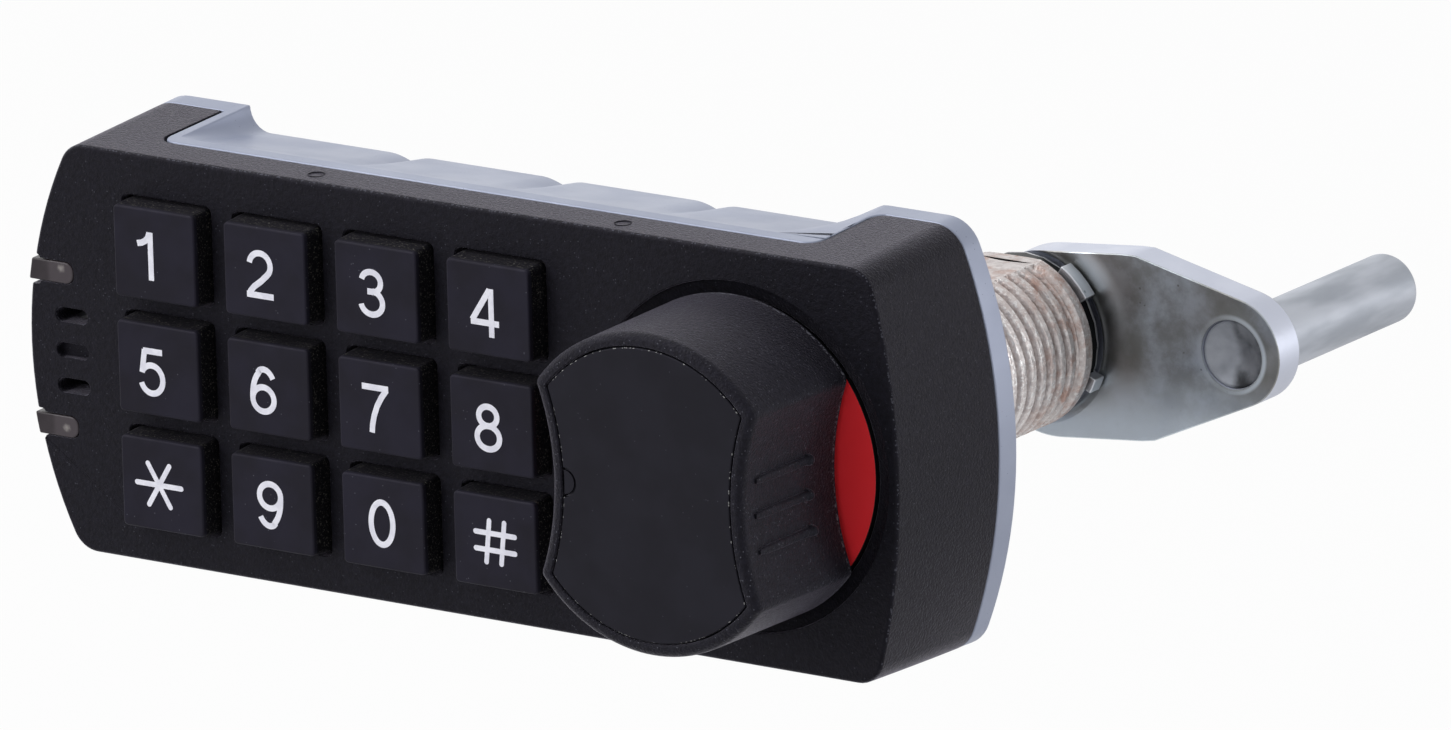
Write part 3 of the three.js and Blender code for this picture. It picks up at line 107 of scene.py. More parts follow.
def circle(x: float, z: float, radius: float, per_quarter: int) -> Ring:
    """Returns the points of a whole circle, each once."""
    return arc(x, z, radius, 0, 4 * QUARTER, 4 * per_quarter)[:-1]


def rectangle(left: float, bottom: float, right: float, top: float) -> Ring:
    """Returns the four corners of a rectangle."""
    return [(left, bottom), (right, bottom), (right, top), (left, top)]


def rounded(x: float, z: float, wide: float, tall: float, corner: float, steps: int) -> Ring:
    """Makes a rectangle with round corners.

    Args:
        x: the centre's place across.
        z: the centre's place upwards.
        wide: the whole width.
        tall: the whole height.
        corner: the corner radius.
        steps: chords in each corner.

    Returns:
        The ring, anticlockwise from the right.
    """
    u, v = wide / 2 - corner, tall / 2 - corner
    centres = [(u, v), (-u, v), (-u, -v), (u, -v)]
    return [point for i, (a, b) in enumerate(centres)
            for point in arc(x + a, z + b, corner, i * QUARTER, (i + 1) * QUARTER, steps)]


def turn_ring(ring: Ring, angle: float) -> Ring:
    """Returns a ring turned about the origin."""
    c, s = math.cos(angle), math.sin(angle)
    return [(x * c - z * s, x * s + z * c) for x, z in ring]


def rounding(radius: float, steps: int) -> Ring:
    """Returns how far a round edge has run back and is still drawn in, step by step."""
    angles = [i / steps * QUARTER for i in range(steps + 1)]
    return [(radius * (1 - math.cos(a)), radius * (1 - math.sin(a))) for a in angles]


def linked(name: str, data: bpy.types.ID) -> Piece:
    """Puts a new object into the scene.

    Args:
        name: the object's name.
        data: the mesh, camera or lamp that it carries.

    Returns:
        The object.
    """
    obj = bpy.data.objects.new(name, data)
    bpy.context.scene.collection.objects.link(obj)
    return obj


def new_piece(name: str, points: Sequence[Sequence[float]], faces: Faces) -> Piece:
    """Makes a mesh object from points in millimetres.

    Args:
        name: the piece's name.
        points: corners in millimetres.
        faces: corner numbers of each face.

    Returns:
        The object, with merged doubles and faces outwards.
    """
    mesh = bpy.data.meshes.new(name)
    mesh.from_pydata([[c * MM for c in p] for p in points], [], faces)
    return tidy(linked(name, mesh))


@contextmanager
def edited(obj: Piece) -> Iterator[bmesh.types.BMesh]:
    """Opens a piece's mesh and writes it back at the end.

    Args:
        obj: the piece.

    Yields:
        The mesh in the form that can be edited.
    """
    work = bmesh.new()
    work.from_mesh(obj.data)
    yield work
    work.to_mesh(obj.data)
    work.free()


def tidy(obj: Piece, distance: float = 1e-7) -> Piece:
    """Merges a mesh's doubles and turns its faces outwards.

    Args:
        obj: the piece.
        distance: how near doubles lie, in metres.

    Returns:
        The same object.
    """
    with edited(obj) as work:
        bmesh.ops.remove_doubles(work, verts=work.verts, dist=distance)
        bmesh.ops.dissolve_degenerate(work, edges=work.edges, dist=distance)
        bmesh.ops.recalc_face_normals(work, faces=work.faces)
    return obj


def loft(name: str, sections: Sections, lay: Lay = Lay.ALONG_Y) -> Piece:
    """Makes a closed skin through rings of equally many points.

    Args:
        name: the piece's name.
        sections: each ring with its distance.
        lay: how the rings lie in space.

    Returns:
        The solid.
    """
    count = len(sections[0][1])
    points = []
    for w, ring in sections:
        for u, v in ring:
            at = [0.0, 0.0, 0.0]
            for axis, value in zip(lay.value, (u, v, w)):
                at[axis] = value
            points.append(at)
    faces = []
    for s in range(len(sections) - 1):
        for i in range(count):
            a, b = s * count + i, s * count + (i + 1) % count
            faces.append((a, b, b + count, a + count))
    faces.append(tuple(reversed(range(count))))
    last = (len(sections) - 1) * count
    faces.append(tuple(range(last, last + count)))
    return new_piece(name, points, faces)


def prism(name: str, ring: Ring, start: float, stop: float, lay: Lay = Lay.ALONG_Y) -> Piece:
    """Returns a straight solid on a ring."""
    return loft(name, [(start, ring), (stop, ring)], lay)


def turned(name: str, profile: Ring, steps: int, x: float = 0.0, z: float = 0.0) -> Piece:
    """Turns a profile about a line along Y.

    Args:
        name: the piece's name.
        profile: radius and depth pairs; both ends lie on the axis, or none does and it closes itself.
        steps: chords in a whole turn.
        x: the axis's place across.
        z: the axis's place upwards.

    Returns:
        The solid.
    """
    hollow = profile[0][0] > 0
    rows = profile if hollow else profile[1:-1]
    points = [] if hollow else [(x, profile[0][1], z), (x, profile[-1][1], z)]
    first = len(points)
    last = first + (len(rows) - 1) * steps
    for radius, y in rows:
        points += [(u, y, v) for u, v in arc(x, z, radius, 0, 4 * QUARTER, steps)[:-1]]
    faces = []
    for i in range(steps):
        j = (i + 1) % steps
        if hollow:
            faces.append((last + i, last + j, first + j, first + i))
        else:
            faces += [(0, first + j, first + i), (1, last + i, last + j)]
        for r in range(len(rows) - 1):
            a, b = first + r * steps + i, first + r * steps + j
            faces.append((a, b, b + steps, a + steps))
    return new_piece(name, points, faces)


def rod(radius: float, start: float, stop: float, steps: int, x: float = 0, z: float = 0) -> Piece:
    """Returns a plain round tool along Y."""
    return turned("rod", [(0, start), (radius, start), (radius, stop), (0, stop)], steps, x, z)


def evaluated_mesh(obj: Piece) -> Piece:
    """Replaces a piece's mesh by what its modifiers make of it, and removes them.

    Args:
        obj: the piece.

    Returns:
        The same object.
    """
    graph = bpy.context.evaluated_depsgraph_get()
    mesh = bpy.data.meshes.new_from_object(obj.evaluated_get(graph), depsgraph=graph)
    obj.modifiers.clear()
    old, obj.data = obj.data, mesh
    bpy.data.meshes.remove(old)
    return obj


def combine(obj: Piece, operation: Operation, tools: Iterable[Piece]) -> Piece:
    """Cuts tools from a solid, joins them to it, or keeps what they share.

    Args:
        obj: the solid.
        operation: what the tools do.
        tools: solids that are used up.

    Returns:
        The same object with its new mesh.
    """
    for tool in list(tools):
        modifier = obj.modifiers.new("combine", "BOOLEAN")
        modifier.solver = "EXACT"
        modifier.operation = operation.value
        modifier.object = tool
        evaluated_mesh(obj)
        bpy.data.objects.remove(tool)
    return obj


def soften(obj: Piece, width: float, segments: int = 2, angle: float = 32.0) -> Piece:
    """Rounds a solid's sharp edges.

    Args:
        obj: the solid.
        width: width of the rounding in millimetres.
        segments: faces across the rounding.
        angle: only edges sharper than this, in degrees, are rounded.

    Returns:
        The same object with its new mesh.
    """
    with edited(obj) as work:
        bmesh.ops.remove_doubles(work, verts=work.verts, dist=WELD)
        level = math.radians(FLAT_WITHIN)
        bmesh.ops.dissolve_limit(work, angle_limit=level, verts=work.verts, edges=work.edges)
    bevel = obj.modifiers.new("bevel", "BEVEL")
    bevel.width = width * MM
    bevel.segments = segments
    bevel.limit_method = "ANGLE"
    bevel.angle_limit = math.radians(angle)
    bevel.use_clamp_overlap = False
    bevel.miter_outer = "MITER_ARC"
    bevel.harden_normals = False
    return evaluated_mesh(obj)


def smooth(obj: Piece, angle: float = 30.0) -> Piece:
    """Shades a piece smooth, with its large faces flat.

    Args:
        obj: the piece.
        angle: edges sharper than this, in degrees, stay sharp.

    Returns:
        The same object.
    """
    obj.data.shade_smooth()
    obj.data.set_sharp_from_angle(angle=math.radians(angle))
    even = obj.modifiers.new("even", "WEIGHTED_NORMAL")
    even.keep_sharp = True
    return evaluated_mesh(obj)


def dress(obj: Piece, material: bpy.types.Material) -> Piece:
    """Gives a piece one material.

    Args:
        obj: the piece.
        material: its only material.

    Returns:
        The same object.
    """
    obj.data.materials.clear()
    obj.data.materials.append(material)
    return obj


def place(obj: Piece, body: str, slot: str, *nodes: str) -> Piece:
    """Puts a finished piece on its body.

    Args:
        obj: the piece.
        body: the body that carries it.
        slot: the name of its finish's slot; not used.
        nodes: the solids that it stands for.

    Returns:
        The same object.
    """
    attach(obj, body)
    if nodes:
        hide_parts(*nodes)
    LOG.info("%s on %s, %d faces", obj.name, body, len(obj.data.polygons))
    return obj


def copy_of(node: str, name: str) -> Piece:
    """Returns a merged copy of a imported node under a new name."""
    return tidy(linked(name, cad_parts[node].data.copy()), WELD)


def emptied(owner: bpy.types.Material | bpy.types.World) -> bpy.types.NodeTree:
    """Empties the node tree of a material or of the world.

    Args:
        owner: what has the tree.

    Returns:
        The tree, ready for its nodes.
    """
    owner.use_nodes = True
    owner.node_tree.nodes.clear()
    return owner.node_tree


@dataclass(frozen=True)
class Value:
    """A node's output, which can be reckoned with like a number."""

    nodes: "Nodes"
    socket: bpy.types.NodeSocket

    def __add__(self, other: object) -> "Value":
        """Returns the sum."""
        return self.nodes.math("ADD", self, other)

    def __sub__(self, other: object) -> "Value":
        """Returns the difference."""
        return self.nodes.math("SUBTRACT", self, other)

    def __mul__(self, other: object) -> "Value":
        """Returns the product."""
        return self.nodes.math("MULTIPLY", self, other)

    def __truediv__(self, other: object) -> "Value":
        """Returns the quotient."""
        return self.nodes.math("DIVIDE", self, other)

    def __lt__(self, other: object) -> "Value":
        """Returns 1 where this is less, and 0 elsewhere."""
        return self.nodes.math("LESS_THAN", self, other)

    def __gt__(self, other: object) -> "Value":
        """Returns 1 where this is more, and 0 elsewhere."""
        return self.nodes.math("GREATER_THAN", self, other)

    def __rsub__(self, other: float) -> "Value":
        """Returns what this leaves of a number."""
        return self.nodes.math("SUBTRACT", other, self)

    def __abs__(self) -> "Value":
        """Returns the value without its sign."""
        return self.nodes.math("ABSOLUTE", self)


class Nodes:
    """A node tree that is built one node at a time."""

    def __init__(self, tree: bpy.types.NodeTree) -> None:
        """Keeps the tree that the nodes go into."""
        self.tree = tree

    def add(self, kind: str, values: dict | None = None, **settings: object) -> bpy.types.Node:
        """Adds a node.

        Args:
            kind: the node's type.
            values: input name or number to a value, or to the outputs that feed it.
            settings: the node's own properties.

        Returns:
            The node.
        """
        node = self.tree.nodes.new(kind)
        for key, value in settings.items():
            setattr(node, key, value)
        for key, given in (values or {}).items():
            for value in given if isinstance(given, list) else [given]:
                if isinstance(value, Value):
                    self.tree.links.new(value.socket, node.inputs[key])
                else:
                    node.inputs[key].default_value = value
        return node

    def get(self, kind: str, values: dict | None = None, name: int | str = 0, **settings: object) -> Value:
        """Adds a node and returns its output of a name or number."""
        return Value(self, self.add(kind, values, **settings).outputs[name])

    def math(self, operation: str, *values: object, clamp: bool = False) -> Value:
        """Returns the output of a math node on up to three values."""
        values = dict(enumerate(values))
        return self.get("ShaderNodeMath", values, operation=operation, use_clamp=clamp)

    def mix(self, factor: object, low: object, high: object) -> Value:
        """Returns a colour between two others."""
        return self.get("ShaderNodeMix", {0: factor, 6: low, 7: high}, 2, data_type="RGBA")

    def ramp(self, value: object, start: float, stop: float, low: float = 0, high: float = 1) -> Value:
        """Returns a value taken smoothly from one range to another."""
        values = {0: value, 1: start, 2: stop, 3: low, 4: high}
        return self.get("ShaderNodeMapRange", values, interpolation_type="SMOOTHSTEP")

    def fade(self, value: object, start: float, stop: float, low: float = 0, high: float = 1) -> Value:
        """Returns a ramp between two lengths in millimetres."""
        return self.ramp(value, start * MM, stop * MM, low, high)

    def noise(self, vector: object, scale: float, detail: float = 2.0, rough: float = 0.5) -> Value:
        """Returns a noise value."""
        values = {"Vector": vector, "Scale": scale, "Detail": detail, "Roughness": rough}
        return self.get("ShaderNodeTexNoise", values)

    def axes(self, at: Value) -> list[Value]:
        """Returns the x, y and z of a place."""
        return [Value(self, part) for part in self.add("ShaderNodeSeparateXYZ", {0: at}).outputs]

    def distance(self, across: Value, upward: Value) -> Value:
        """Returns how far two parts at right angles reach together."""
        return self.math("SQRT", across * across + upward * upward)

    def within(self, value: Value, middle: float, half: float) -> Value:
        """Returns 1 where a length is nearer to the middle than half, in millimetres."""
        return abs(value - middle * MM) < half * MM


class Surface(Nodes):
    """A material's tree, with the place on the piece that it colours."""

    def __init__(self, tree: bpy.types.NodeTree, stretch: Sequence[float]) -> None:
        """Takes the tree and finds the place.

        Args:
            tree: the material's emptied tree.
            stretch: how much finer the grain is along each axis.
        """
        super().__init__(tree)
        self.bare = self.get("ShaderNodeTexCoord", name="Object")
        self.at = self.get("ShaderNodeMapping", {"Vector": self.bare, "Scale": stretch})

    def grain(self, scale: float, detail: float = 2.0, rough: float = 0.5) -> Value:
        """Returns a noise value over the surface."""
        return self.noise(self.at, scale, detail, rough)

    def cells(self, size: float, share: float, part: int) -> tuple[Value, Value]:
        """Spreads cells over the surface and picks a few of them.

        Args:
            size: how many cells there are in a metre.
            share: the share of the cells that is picked.
            part: which part of a cell's colour decides.

        Returns:
            1 inside a picked cell, and the distance from the cell's middle.
        """
        cells = self.add("ShaderNodeTexVoronoi", {"Vector": self.at, "Scale": size})
        colour, away = (Value(self, cells.outputs[name]) for name in ("Color", "Distance"))
        return self.get("ShaderNodeSeparateColor", {0: colour}, part) < share, away


@dataclass(frozen=True)
class Finish:
    """A surface whose colour, gloss and grain vary a little from place to place."""

    name: str
    low: str
    high: str
    patch: float = 180.0
    metallic: float = 0.0
    gloss: tuple[float, float] = (0.45, 0.55)
    specular: float = 0.5
    grain: float = 4200.0
    height: float = 0.006
    octaves: float = 1.0
    coat: float = 0.0
    sheen: float = 0.0
    cast: tuple[float, float, float] = (1.0, 1.0, 1.0)
    stretch: tuple[float, float, float] = (1.0, 1.0, 1.0)

    def colour(self, on: Surface) -> Value:
        """Returns the colour: patches between the two shades."""
        share = on.ramp(on.grain(self.patch, 3.0), 0.35, 0.65)
        return on.mix(share, paint(self.low), paint(self.high))

    def relief(self, on: Surface) -> Value:
        """Returns the height of the fine grain."""
        return on.grain(self.grain, self.octaves, 0.65)

    def material(self) -> bpy.types.Material:
        """Builds the material once.

        Returns:
            The material, the same one each time.
        """
        if self.name in bpy.data.materials:
            return bpy.data.materials[self.name]
        material = bpy.data.materials.new(self.name)
        on = Surface(emptied(material), self.stretch)
        grain = {"Height": self.relief(on), "Strength": 0.8, "Distance": self.height * MM}
        values = {
            "Base Color": self.colour(on),
            "Metallic": self.metallic,
            "Roughness": on.ramp(on.grain(self.patch * 2.3, 4.0, 0.6), 0.3, 0.7, *self.gloss),
            "Specular IOR Level": self.specular,
            "Coat Weight": self.coat,
            "Coat Roughness": 0.12,
            "Sheen Weight": self.sheen,
            "Sheen Roughness": 0.35,
            "Sheen Tint": (*self.cast, 1.0),
            "Specular Tint": (*self.cast, 1.0),
            "Normal": on.get("ShaderNodeBump", grain),
        }
        shader = on.get("ShaderNodeBsdfPrincipled", values)
        on.add("ShaderNodeOutputMaterial", {"Surface": shader})
        return material

    def apply(self, obj: Piece, angle: float = 30.0) -> Piece:
        """Dresses a piece and shades it smooth, but for edges sharper than the angle."""
        return smooth(dress(obj, self.material()), angle)


@dataclass(frozen=True)
class SpeckledFinish(Finish):
    """A finish with fine specks of another colour, as dust or flakes make."""

    speck: str = "8a8c92"
    speck_size: float = 4200.0
    speck_share: float = 0.04

    def colour(self, on: Surface) -> Value:
        """Lays the specks over the base colour.

        Args:
            on: the surface.

        Returns:
            The colour.
        """
        base = super().colour(on)
        rare, away = on.cells(self.speck_size, self.speck_share, 0)
        dot = rare * on.ramp(away, 0.32, 0.18)
        return on.mix(dot, base, paint(self.speck))


@dataclass(frozen=True)
class KeyFinish(SpeckledFinish):
    """A key's finish: satin on its face, coarse on the walls behind the face, which carry painted shade."""

    face: float = -21.65
    walls: float = 0.35
    coarse: float = 3000.0
    rough: float = 16.0
    shade: str = "08080b"
    dust: str = "6a6862"

    def behind(self, on: Surface) -> Value:
        """Returns 1 on the walls and 0 on the face."""
        return on.fade(on.axes(on.at)[1], self.face + self.walls, self.face + 2 * self.walls)

    def colour(self, on: Surface) -> Value:
        """Leaves the face's colour and paints shade on the walls, with dusty grit specks.

        Args:
            on: the surface.

        Returns:
            The colour.
        """
        # Painted shade: the walls behind the face are darkened, with lighter grit specks on them.
        grit = on.ramp(on.grain(1.6 * self.coarse, 3.0, 0.7), 0.56, 0.7)
        wall = on.mix(grit, paint(self.shade), paint(self.dust))
        return on.mix(self.behind(on), super().colour(on), wall)

    def relief(self, on: Surface) -> Value:
        """Lays a coarse grain over the fine one on the walls.

        Args:
            on: the surface.

        Returns:
            The relief's height.
        """
        fine = super().relief(on)
        coarse = on.grain(self.coarse, 2.0) * self.rough
        return fine + coarse * self.behind(on)


@dataclass(frozen=True)
class StatusFinish(Finish):
    """Paint in four fields on black: one colour left and right, another above and below, with painted shade
    where the fields stop short.
    """

    other: str = "2f7a3a"
    between: str = "0b0b0e"
    slope: float = 0.77
    other_slope: float = 0.6
    radius: float = 16.33

    def colour(self, on: Surface) -> Value:
        """Picks the colour of the quarter that a point lies in.

        Args:
            on: the surface.

        Returns:
            The colour.
        """
        base = super().colour(on)
        x, _, z = on.axes(on.at)
        across, upward = abs(x), abs(z)
        # Painted shade: the red fields stop at a slope and all paint stops short of the rim, so the dark
        # there stands partly for the disc's black and partly for the bezel's shade.
        sides = upward < across * self.slope
        ends = across < upward * self.other_slope
        near = on.distance(across, upward) < self.radius * MM
        plain = paint(self.between)
        fields = on.mix(ends, on.mix(sides, plain, base), paint(self.other))
        return on.mix(near, plain, fields)


@dataclass(frozen=True)
class TurnedFinish(Finish):
    """Plated metal round the Y axis: painted shade in its valleys and painted glints on its crests, darker
    towards the far end, with copper showing near the end.
    """

    valley: str = "a39a98"
    root: float = 8.75
    root_soft: float = 0.35
    crest: float = 9.35
    crest_soft: float = 0.4
    ragged: float = 0.9
    flat: float = 8.77
    flat_soft: float = 0.03
    glint: str = "ffffff"
    glint_soft: float = 0.15
    copper: str = "a3857a"
    dull: str = "827977"
    dull_from: float = 5.0
    worn_from: float = 17.0
    worn_to: float = 29.0

    def colour(self, on: Surface) -> Value:
        """Colours the plating by its distance from the axis and along it, with painted shade in the valleys
        and painted glints on the crests.

        Args:
            on: the surface.

        Returns:
            The colour.
        """
        x, y, z = on.axes(on.at)
        away = on.distance(x, z)
        ragged_away = away + on.grain(1700.0, 3.0) * (self.ragged * MM)
        # Painted shade: the valleys between the crests are darker.
        share = on.fade(ragged_away, self.root + self.root_soft, self.crest + self.crest_soft)
        flat = on.fade(abs(z), self.flat - self.flat_soft, self.flat)
        base = super().colour(on)
        plated = on.mix(on.math("MAXIMUM", share, flat), paint(self.valley), base)
        # Painted highlight: bright glint spots on the crests.
        spots = on.ramp(on.grain(2400.0, 2.0, 0.6), 0.53, 0.6)
        raised = on.fade(away, self.crest - self.glint_soft, self.crest)
        plated = on.mix(spots * raised, plated, paint(self.glint))
        # Darker towards the far end along Y: partly duller plating, partly painted shade.
        dull_and_shade = on.fade(y, self.dull_from, self.worn_to, 0.0, 0.5)
        plated = on.mix(dull_and_shade, plated, paint(self.dull))
        patches = on.ramp(on.grain(330.0, 5.0, 0.7), 0.46, 0.66)
        late = on.fade(y, self.worn_from, self.worn_to, 0.0, 0.9)
        return on.mix(patches * late, plated, paint(self.copper))


@dataclass(frozen=True)
class SeamFinish(SpeckledFinish):
    """A moulding's finish, with painted highlight specks along its edge between two depths."""

    edge: float = -35.52
    edge_wide: float = 0.3
    highlight_speck: str = "9c9c9c"
    highlight_size: float = 6000.0
    highlight_share: float = 0.12

    def colour(self, on: Surface) -> Value:
        """Lays the painted highlight specks of the edge over the face's colour.

        Args:
            on: the surface.

        Returns:
            The colour.
        """
        base = super().colour(on)
        # Painted highlight: bright specks along the edge stand in for light caught by the edge.
        rare, _ = on.cells(self.highlight_size, self.highlight_share, 1)
        near = on.within(on.axes(on.at)[1], self.edge + self.edge_wide / 2, self.edge_wide / 2)
        return on.mix(rare * near, base, paint(self.highlight_speck))


@dataclass(frozen=True)
class DeepFinish(Finish):
    """Metal with painted shade ahead of a depth, patchily so, and most to the right of a line."""

    deep: str = "26282c"
    behind: float = 37.0
    right_of: float = 24.9
    soft_left: float = 0.8
    soft_right: float = 0.5

    def colour(self, on: Surface) -> Value:
        """Paints shade on the metal that lies ahead.

        Args:
            on: the surface.

        Returns:
            The colour.
        """
        x, y, _ = on.axes(on.bare)
        ahead = y < self.behind * MM
        # Painted shade: the rivet head ahead of the depth is darkened in patches, most on its right side.
        patch = on.ramp(on.grain(300.0, 4.0), 0.35, 0.65, 0.65, 1.0)
        right = on.fade(x, self.right_of - self.soft_left, self.right_of + self.soft_right, 0.4, 1.0)
        return on.mix(ahead * patch * right, super().colour(on), paint(self.deep))


@dataclass(frozen=True)
class CamFinish(SpeckledFinish):
    """Plated metal, cloudy on its faces and paler on its edge, with painted light low down and painted
    highlights round the dish and rivet.
    """

    pale: str = "d6dfe6"
    dull: str = "73746f"
    cloud: float = 210.0
    level: float = -1.0
    fall: float = 8.0
    lip: float = 11.4
    lip_wide: float = 1.6
    middle: float = 36.15
    half_thick: float = 1.82
    edge: str = "b9bdca"
    rivet: tuple[float, float] = (24.83, 0.93)
    halo: float = 4.0
    halo_wide: float = 0.45

    def band(self, on: Surface, away: Value, radius: float, wide: float) -> Value:
        """Returns a soft ring: most at the radius, none beyond its width."""
        return on.fade(abs(away - radius * MM), wide, 0.1 * wide, 0.0, 0.6)

    def rings(self, on: Surface, x: Value, z: Value) -> Value:
        """Makes the painted highlight rings of the front.

        Args:
            on: the surface.
            x: the place across.
            z: the place upwards.

        Returns:
            How pale the painted highlights on the dish's upper lip and the rivet's right side make a place.
        """
        # Painted highlights: the dish's lip is paler towards the top, and the rivet's halo towards its
        # right.
        lip = self.band(on, on.distance(x, z), self.lip, self.lip_wide)
        upper = on.fade(z, 0.0, self.lip, 0.1, 1.6)
        side, rise = (a - b * MM for a, b in zip((x, z), self.rivet))
        halo = self.band(on, on.distance(side, rise), self.halo, self.halo_wide)
        right = on.fade(side, -self.halo, self.halo, 0.2, 1.3)
        return on.math("MAXIMUM", lip * upper, halo * right)

    def colour(self, on: Surface) -> Value:
        """Lays clouds, the painted light and highlights and the edge over the metal's colour.

        Args:
            on: the surface.

        Returns:
            The colour.
        """
        cloud = on.ramp(on.grain(self.cloud, 6.0, 0.62), 0.36, 0.64, 0.0, 0.7)
        base = on.mix(cloud, super().colour(on), paint(self.dull))
        x, y, z = on.axes(on.at)
        # Painted light: the face is paler low down.
        low = on.fade(z, self.level, self.level - self.fall, 0.0, 0.8)
        ahead = y < self.middle * MM
        rings = ahead * self.rings(on, x, z)
        face = on.mix(on.math("MAXIMUM", low, rings), base, paint(self.pale))
        return on.mix(on.within(y, self.middle, self.half_thick), face, paint(self.edge))


@dataclass(frozen=True)
class RimFinish(SpeckledFinish):
    """Metal round the Y axis with painted shade inside a radius, but for a bright back edge that keeps the
    metal's colour.
    """

    inside: str = "191a1d"
    radius: float = 8.72
    bright_from: float = 33.5

    def colour(self, on: Surface) -> Value:
        """Paints shade on the metal inside the radius.

        Args:
            on: the surface.

        Returns:
            The colour.
        """
        x, y, z = on.axes(on.at)
        # Painted shade: the washer inside the radius, behind the thread's end, is darkened.
        near = on.distance(x, z) < self.radius * MM
        ahead = y < self.bright_from * MM
        return on.mix(near * ahead, super().colour(on), paint(self.inside))


@dataclass(frozen=True)
class LensFinish(Finish):
    """Smoked clear plastic, a little paler in front, with a painted glint near the place of the lamp behind
    it.
    """

    pale: str = "474045"
    pale_from: float = -86.9
    pale_soft: float = 0.8
    glint: str = "8f8a88"
    lamp: float = -84.9
    rise: float = 8.6
    drop: float = 0.3
    spot: float = 0.6

    def colour(self, on: Surface) -> Value:
        """Pales the smoke in front and adds a painted glint near the lamp's place.

        Args:
            on: the surface.

        Returns:
            The colour.
        """
        x, _, z = on.axes(on.at)
        front = on.fade(x, self.pale_from, self.pale_from + self.pale_soft, 0.0, 0.7)
        body = on.mix(front, super().colour(on), paint(self.pale))
        # Painted highlight: a ragged bright spot near the lamp's place, which is not lit.
        across = x - self.lamp * MM
        level = abs(z + self.drop * MM)
        away = on.distance(across, level - self.rise * MM)
        ragged = away + on.grain(2600.0, 3.0) * (self.spot * MM)
        near = on.fade(ragged, 1.5 * self.spot, 0.5 * self.spot, 0.0, 0.8)
        return on.mix(near, body, paint(self.glint))


@dataclass(frozen=True)
class BoardFinish(Finish):
    """Lacquered circuit board with copper tracks under the lacquer."""

    track: str = "3f8a4c"

    def colour(self, on: Surface) -> Value:
        """Lays the tracks over the board's colour.

        Args:
            on: the surface.

        Returns:
            The colour.
        """
        base = super().colour(on)
        upright = on.get("ShaderNodeMapping", {0: on.at, 2: (QUARTER, 0, 0)})
        values = {"Vector": upright, "Scale": 260.0, "Mortar Size": 0.06, "Bias": 0.0}
        return on.mix(on.get("ShaderNodeTexBrick", values, "Fac"), base, paint(self.track))


COOL = (0.85, 0.8, 1.0)
# The cover's and the knob's bright specks along their edges are painted highlights.
COVER = SeamFinish("cover_grain", "08080c", "101016", patch=1500.0, gloss=(0.36, 0.56),
                   specular=0.11, sheen=0.4, cast=COOL, grain=3600.0, height=0.11, octaves=3.0,
                   speck="44454d", speck_share=0.05, edge=-19.2, edge_wide=0.2,
                   highlight_speck="44454d", highlight_size=6000.0, highlight_share=0.2)
KNOB = SeamFinish("knob_grain", "0b0b10", "15151c", patch=1800.0, gloss=(0.34, 0.56),
                  specular=0.13, sheen=0.24, cast=COOL, grain=3400.0, height=0.2, octaves=3.0,
                  speck="5c5d66", speck_size=4200.0, speck_share=0.12,
                  edge=-19.7, highlight_speck="6c6d75", highlight_share=0.3)
FACE = SeamFinish("face_satin", "18181d", "1c1c22", gloss=(0.34, 0.4), specular=0.13, sheen=0.03,
                  cast=COOL, grain=6000.0, height=0.003, speck="3c3d45", speck_share=0.01,
                  edge_wide=0.06)
RUBBER = KeyFinish("key_rubber_satin", "19181f", "1e1d27", gloss=(0.5, 0.6), specular=0.13, sheen=0.06,
                   cast=COOL, grain=5200.0, height=0.004, speck="53545d", speck_share=0.012)
PRINT = Finish("key_print", "dedeea", "ececf6", patch=900.0, gloss=(0.5, 0.6), height=0.002)
SILVER = SpeckledFinish("silver_satin", "8d94a9", "979eb2", patch=60.0, metallic=0.25,
                        gloss=(0.36, 0.46), grain=5200.0, height=0.004,
                        speck="6d7284", speck_share=0.02)
STATUS = StatusFinish("status_paint_quarters", "ff2f37", "ff333c", patch=120.0,
                      gloss=(0.45, 0.55), specular=0.3, height=0.003)
LENS = LensFinish("smoked_clear", "241d22", "2c252a", patch=500.0, gloss=(0.3, 0.4), specular=0.25,
                  coat=0.08, height=0.002)
THREAD = TurnedFinish("thread_nickel", "d8d1d0", "f2edec", patch=900.0, metallic=0.75,
                      gloss=(0.36, 0.62), grain=2300.0, height=0.12)
ZINC = CamFinish("cam_zinc", "898886", "acb4bd", patch=70.0, metallic=1.0,
                 gloss=(0.34, 0.5), grain=1500.0, height=0.012,
                 speck="7b7f84", speck_size=1900.0, speck_share=0.02)
WASHER = RimFinish("washer_zinc", "acacb0", "c2c6cc", patch=95.0, metallic=1.0,
                   gloss=(0.34, 0.5), grain=1500.0, height=0.012,
                   speck="8a8e93", speck_size=1500.0, speck_share=0.05)
STEEL = Finish("bright_steel", "a3a7b1", "bcc0c9", patch=260.0, metallic=1.0, gloss=(0.32, 0.44),
               grain=2400.0, height=0.008, stretch=(1.0, 0.25, 1.0))
PIN = DeepFinish("pin_steel", "9ca1aa", "b8bcc5", patch=260.0, metallic=0.6, gloss=(0.5, 0.62),
                 grain=2400.0, height=0.008, stretch=(1.0, 0.25, 1.0))
GREY = Finish("grey_moulding", "66696d", "73767a", gloss=(0.5, 0.65), height=0.01)
SILICONE = Finish("mat_silicone", "34353a", "3c3d42", gloss=(0.6, 0.75), height=0.006)
BOARD = BoardFinish("board_lacquer", "1b5233", "20603c", patch=90.0, gloss=(0.25, 0.35))
BRASS = Finish("contact_brass", "ab8b42", "c4a253", metallic=1.0, gloss=(0.28, 0.42),
               stretch=(0.2, 1.0, 1.0))
SOUNDER = Finish("sounder_black", "202024", "29292e", gloss=(0.45, 0.6), height=0.012)


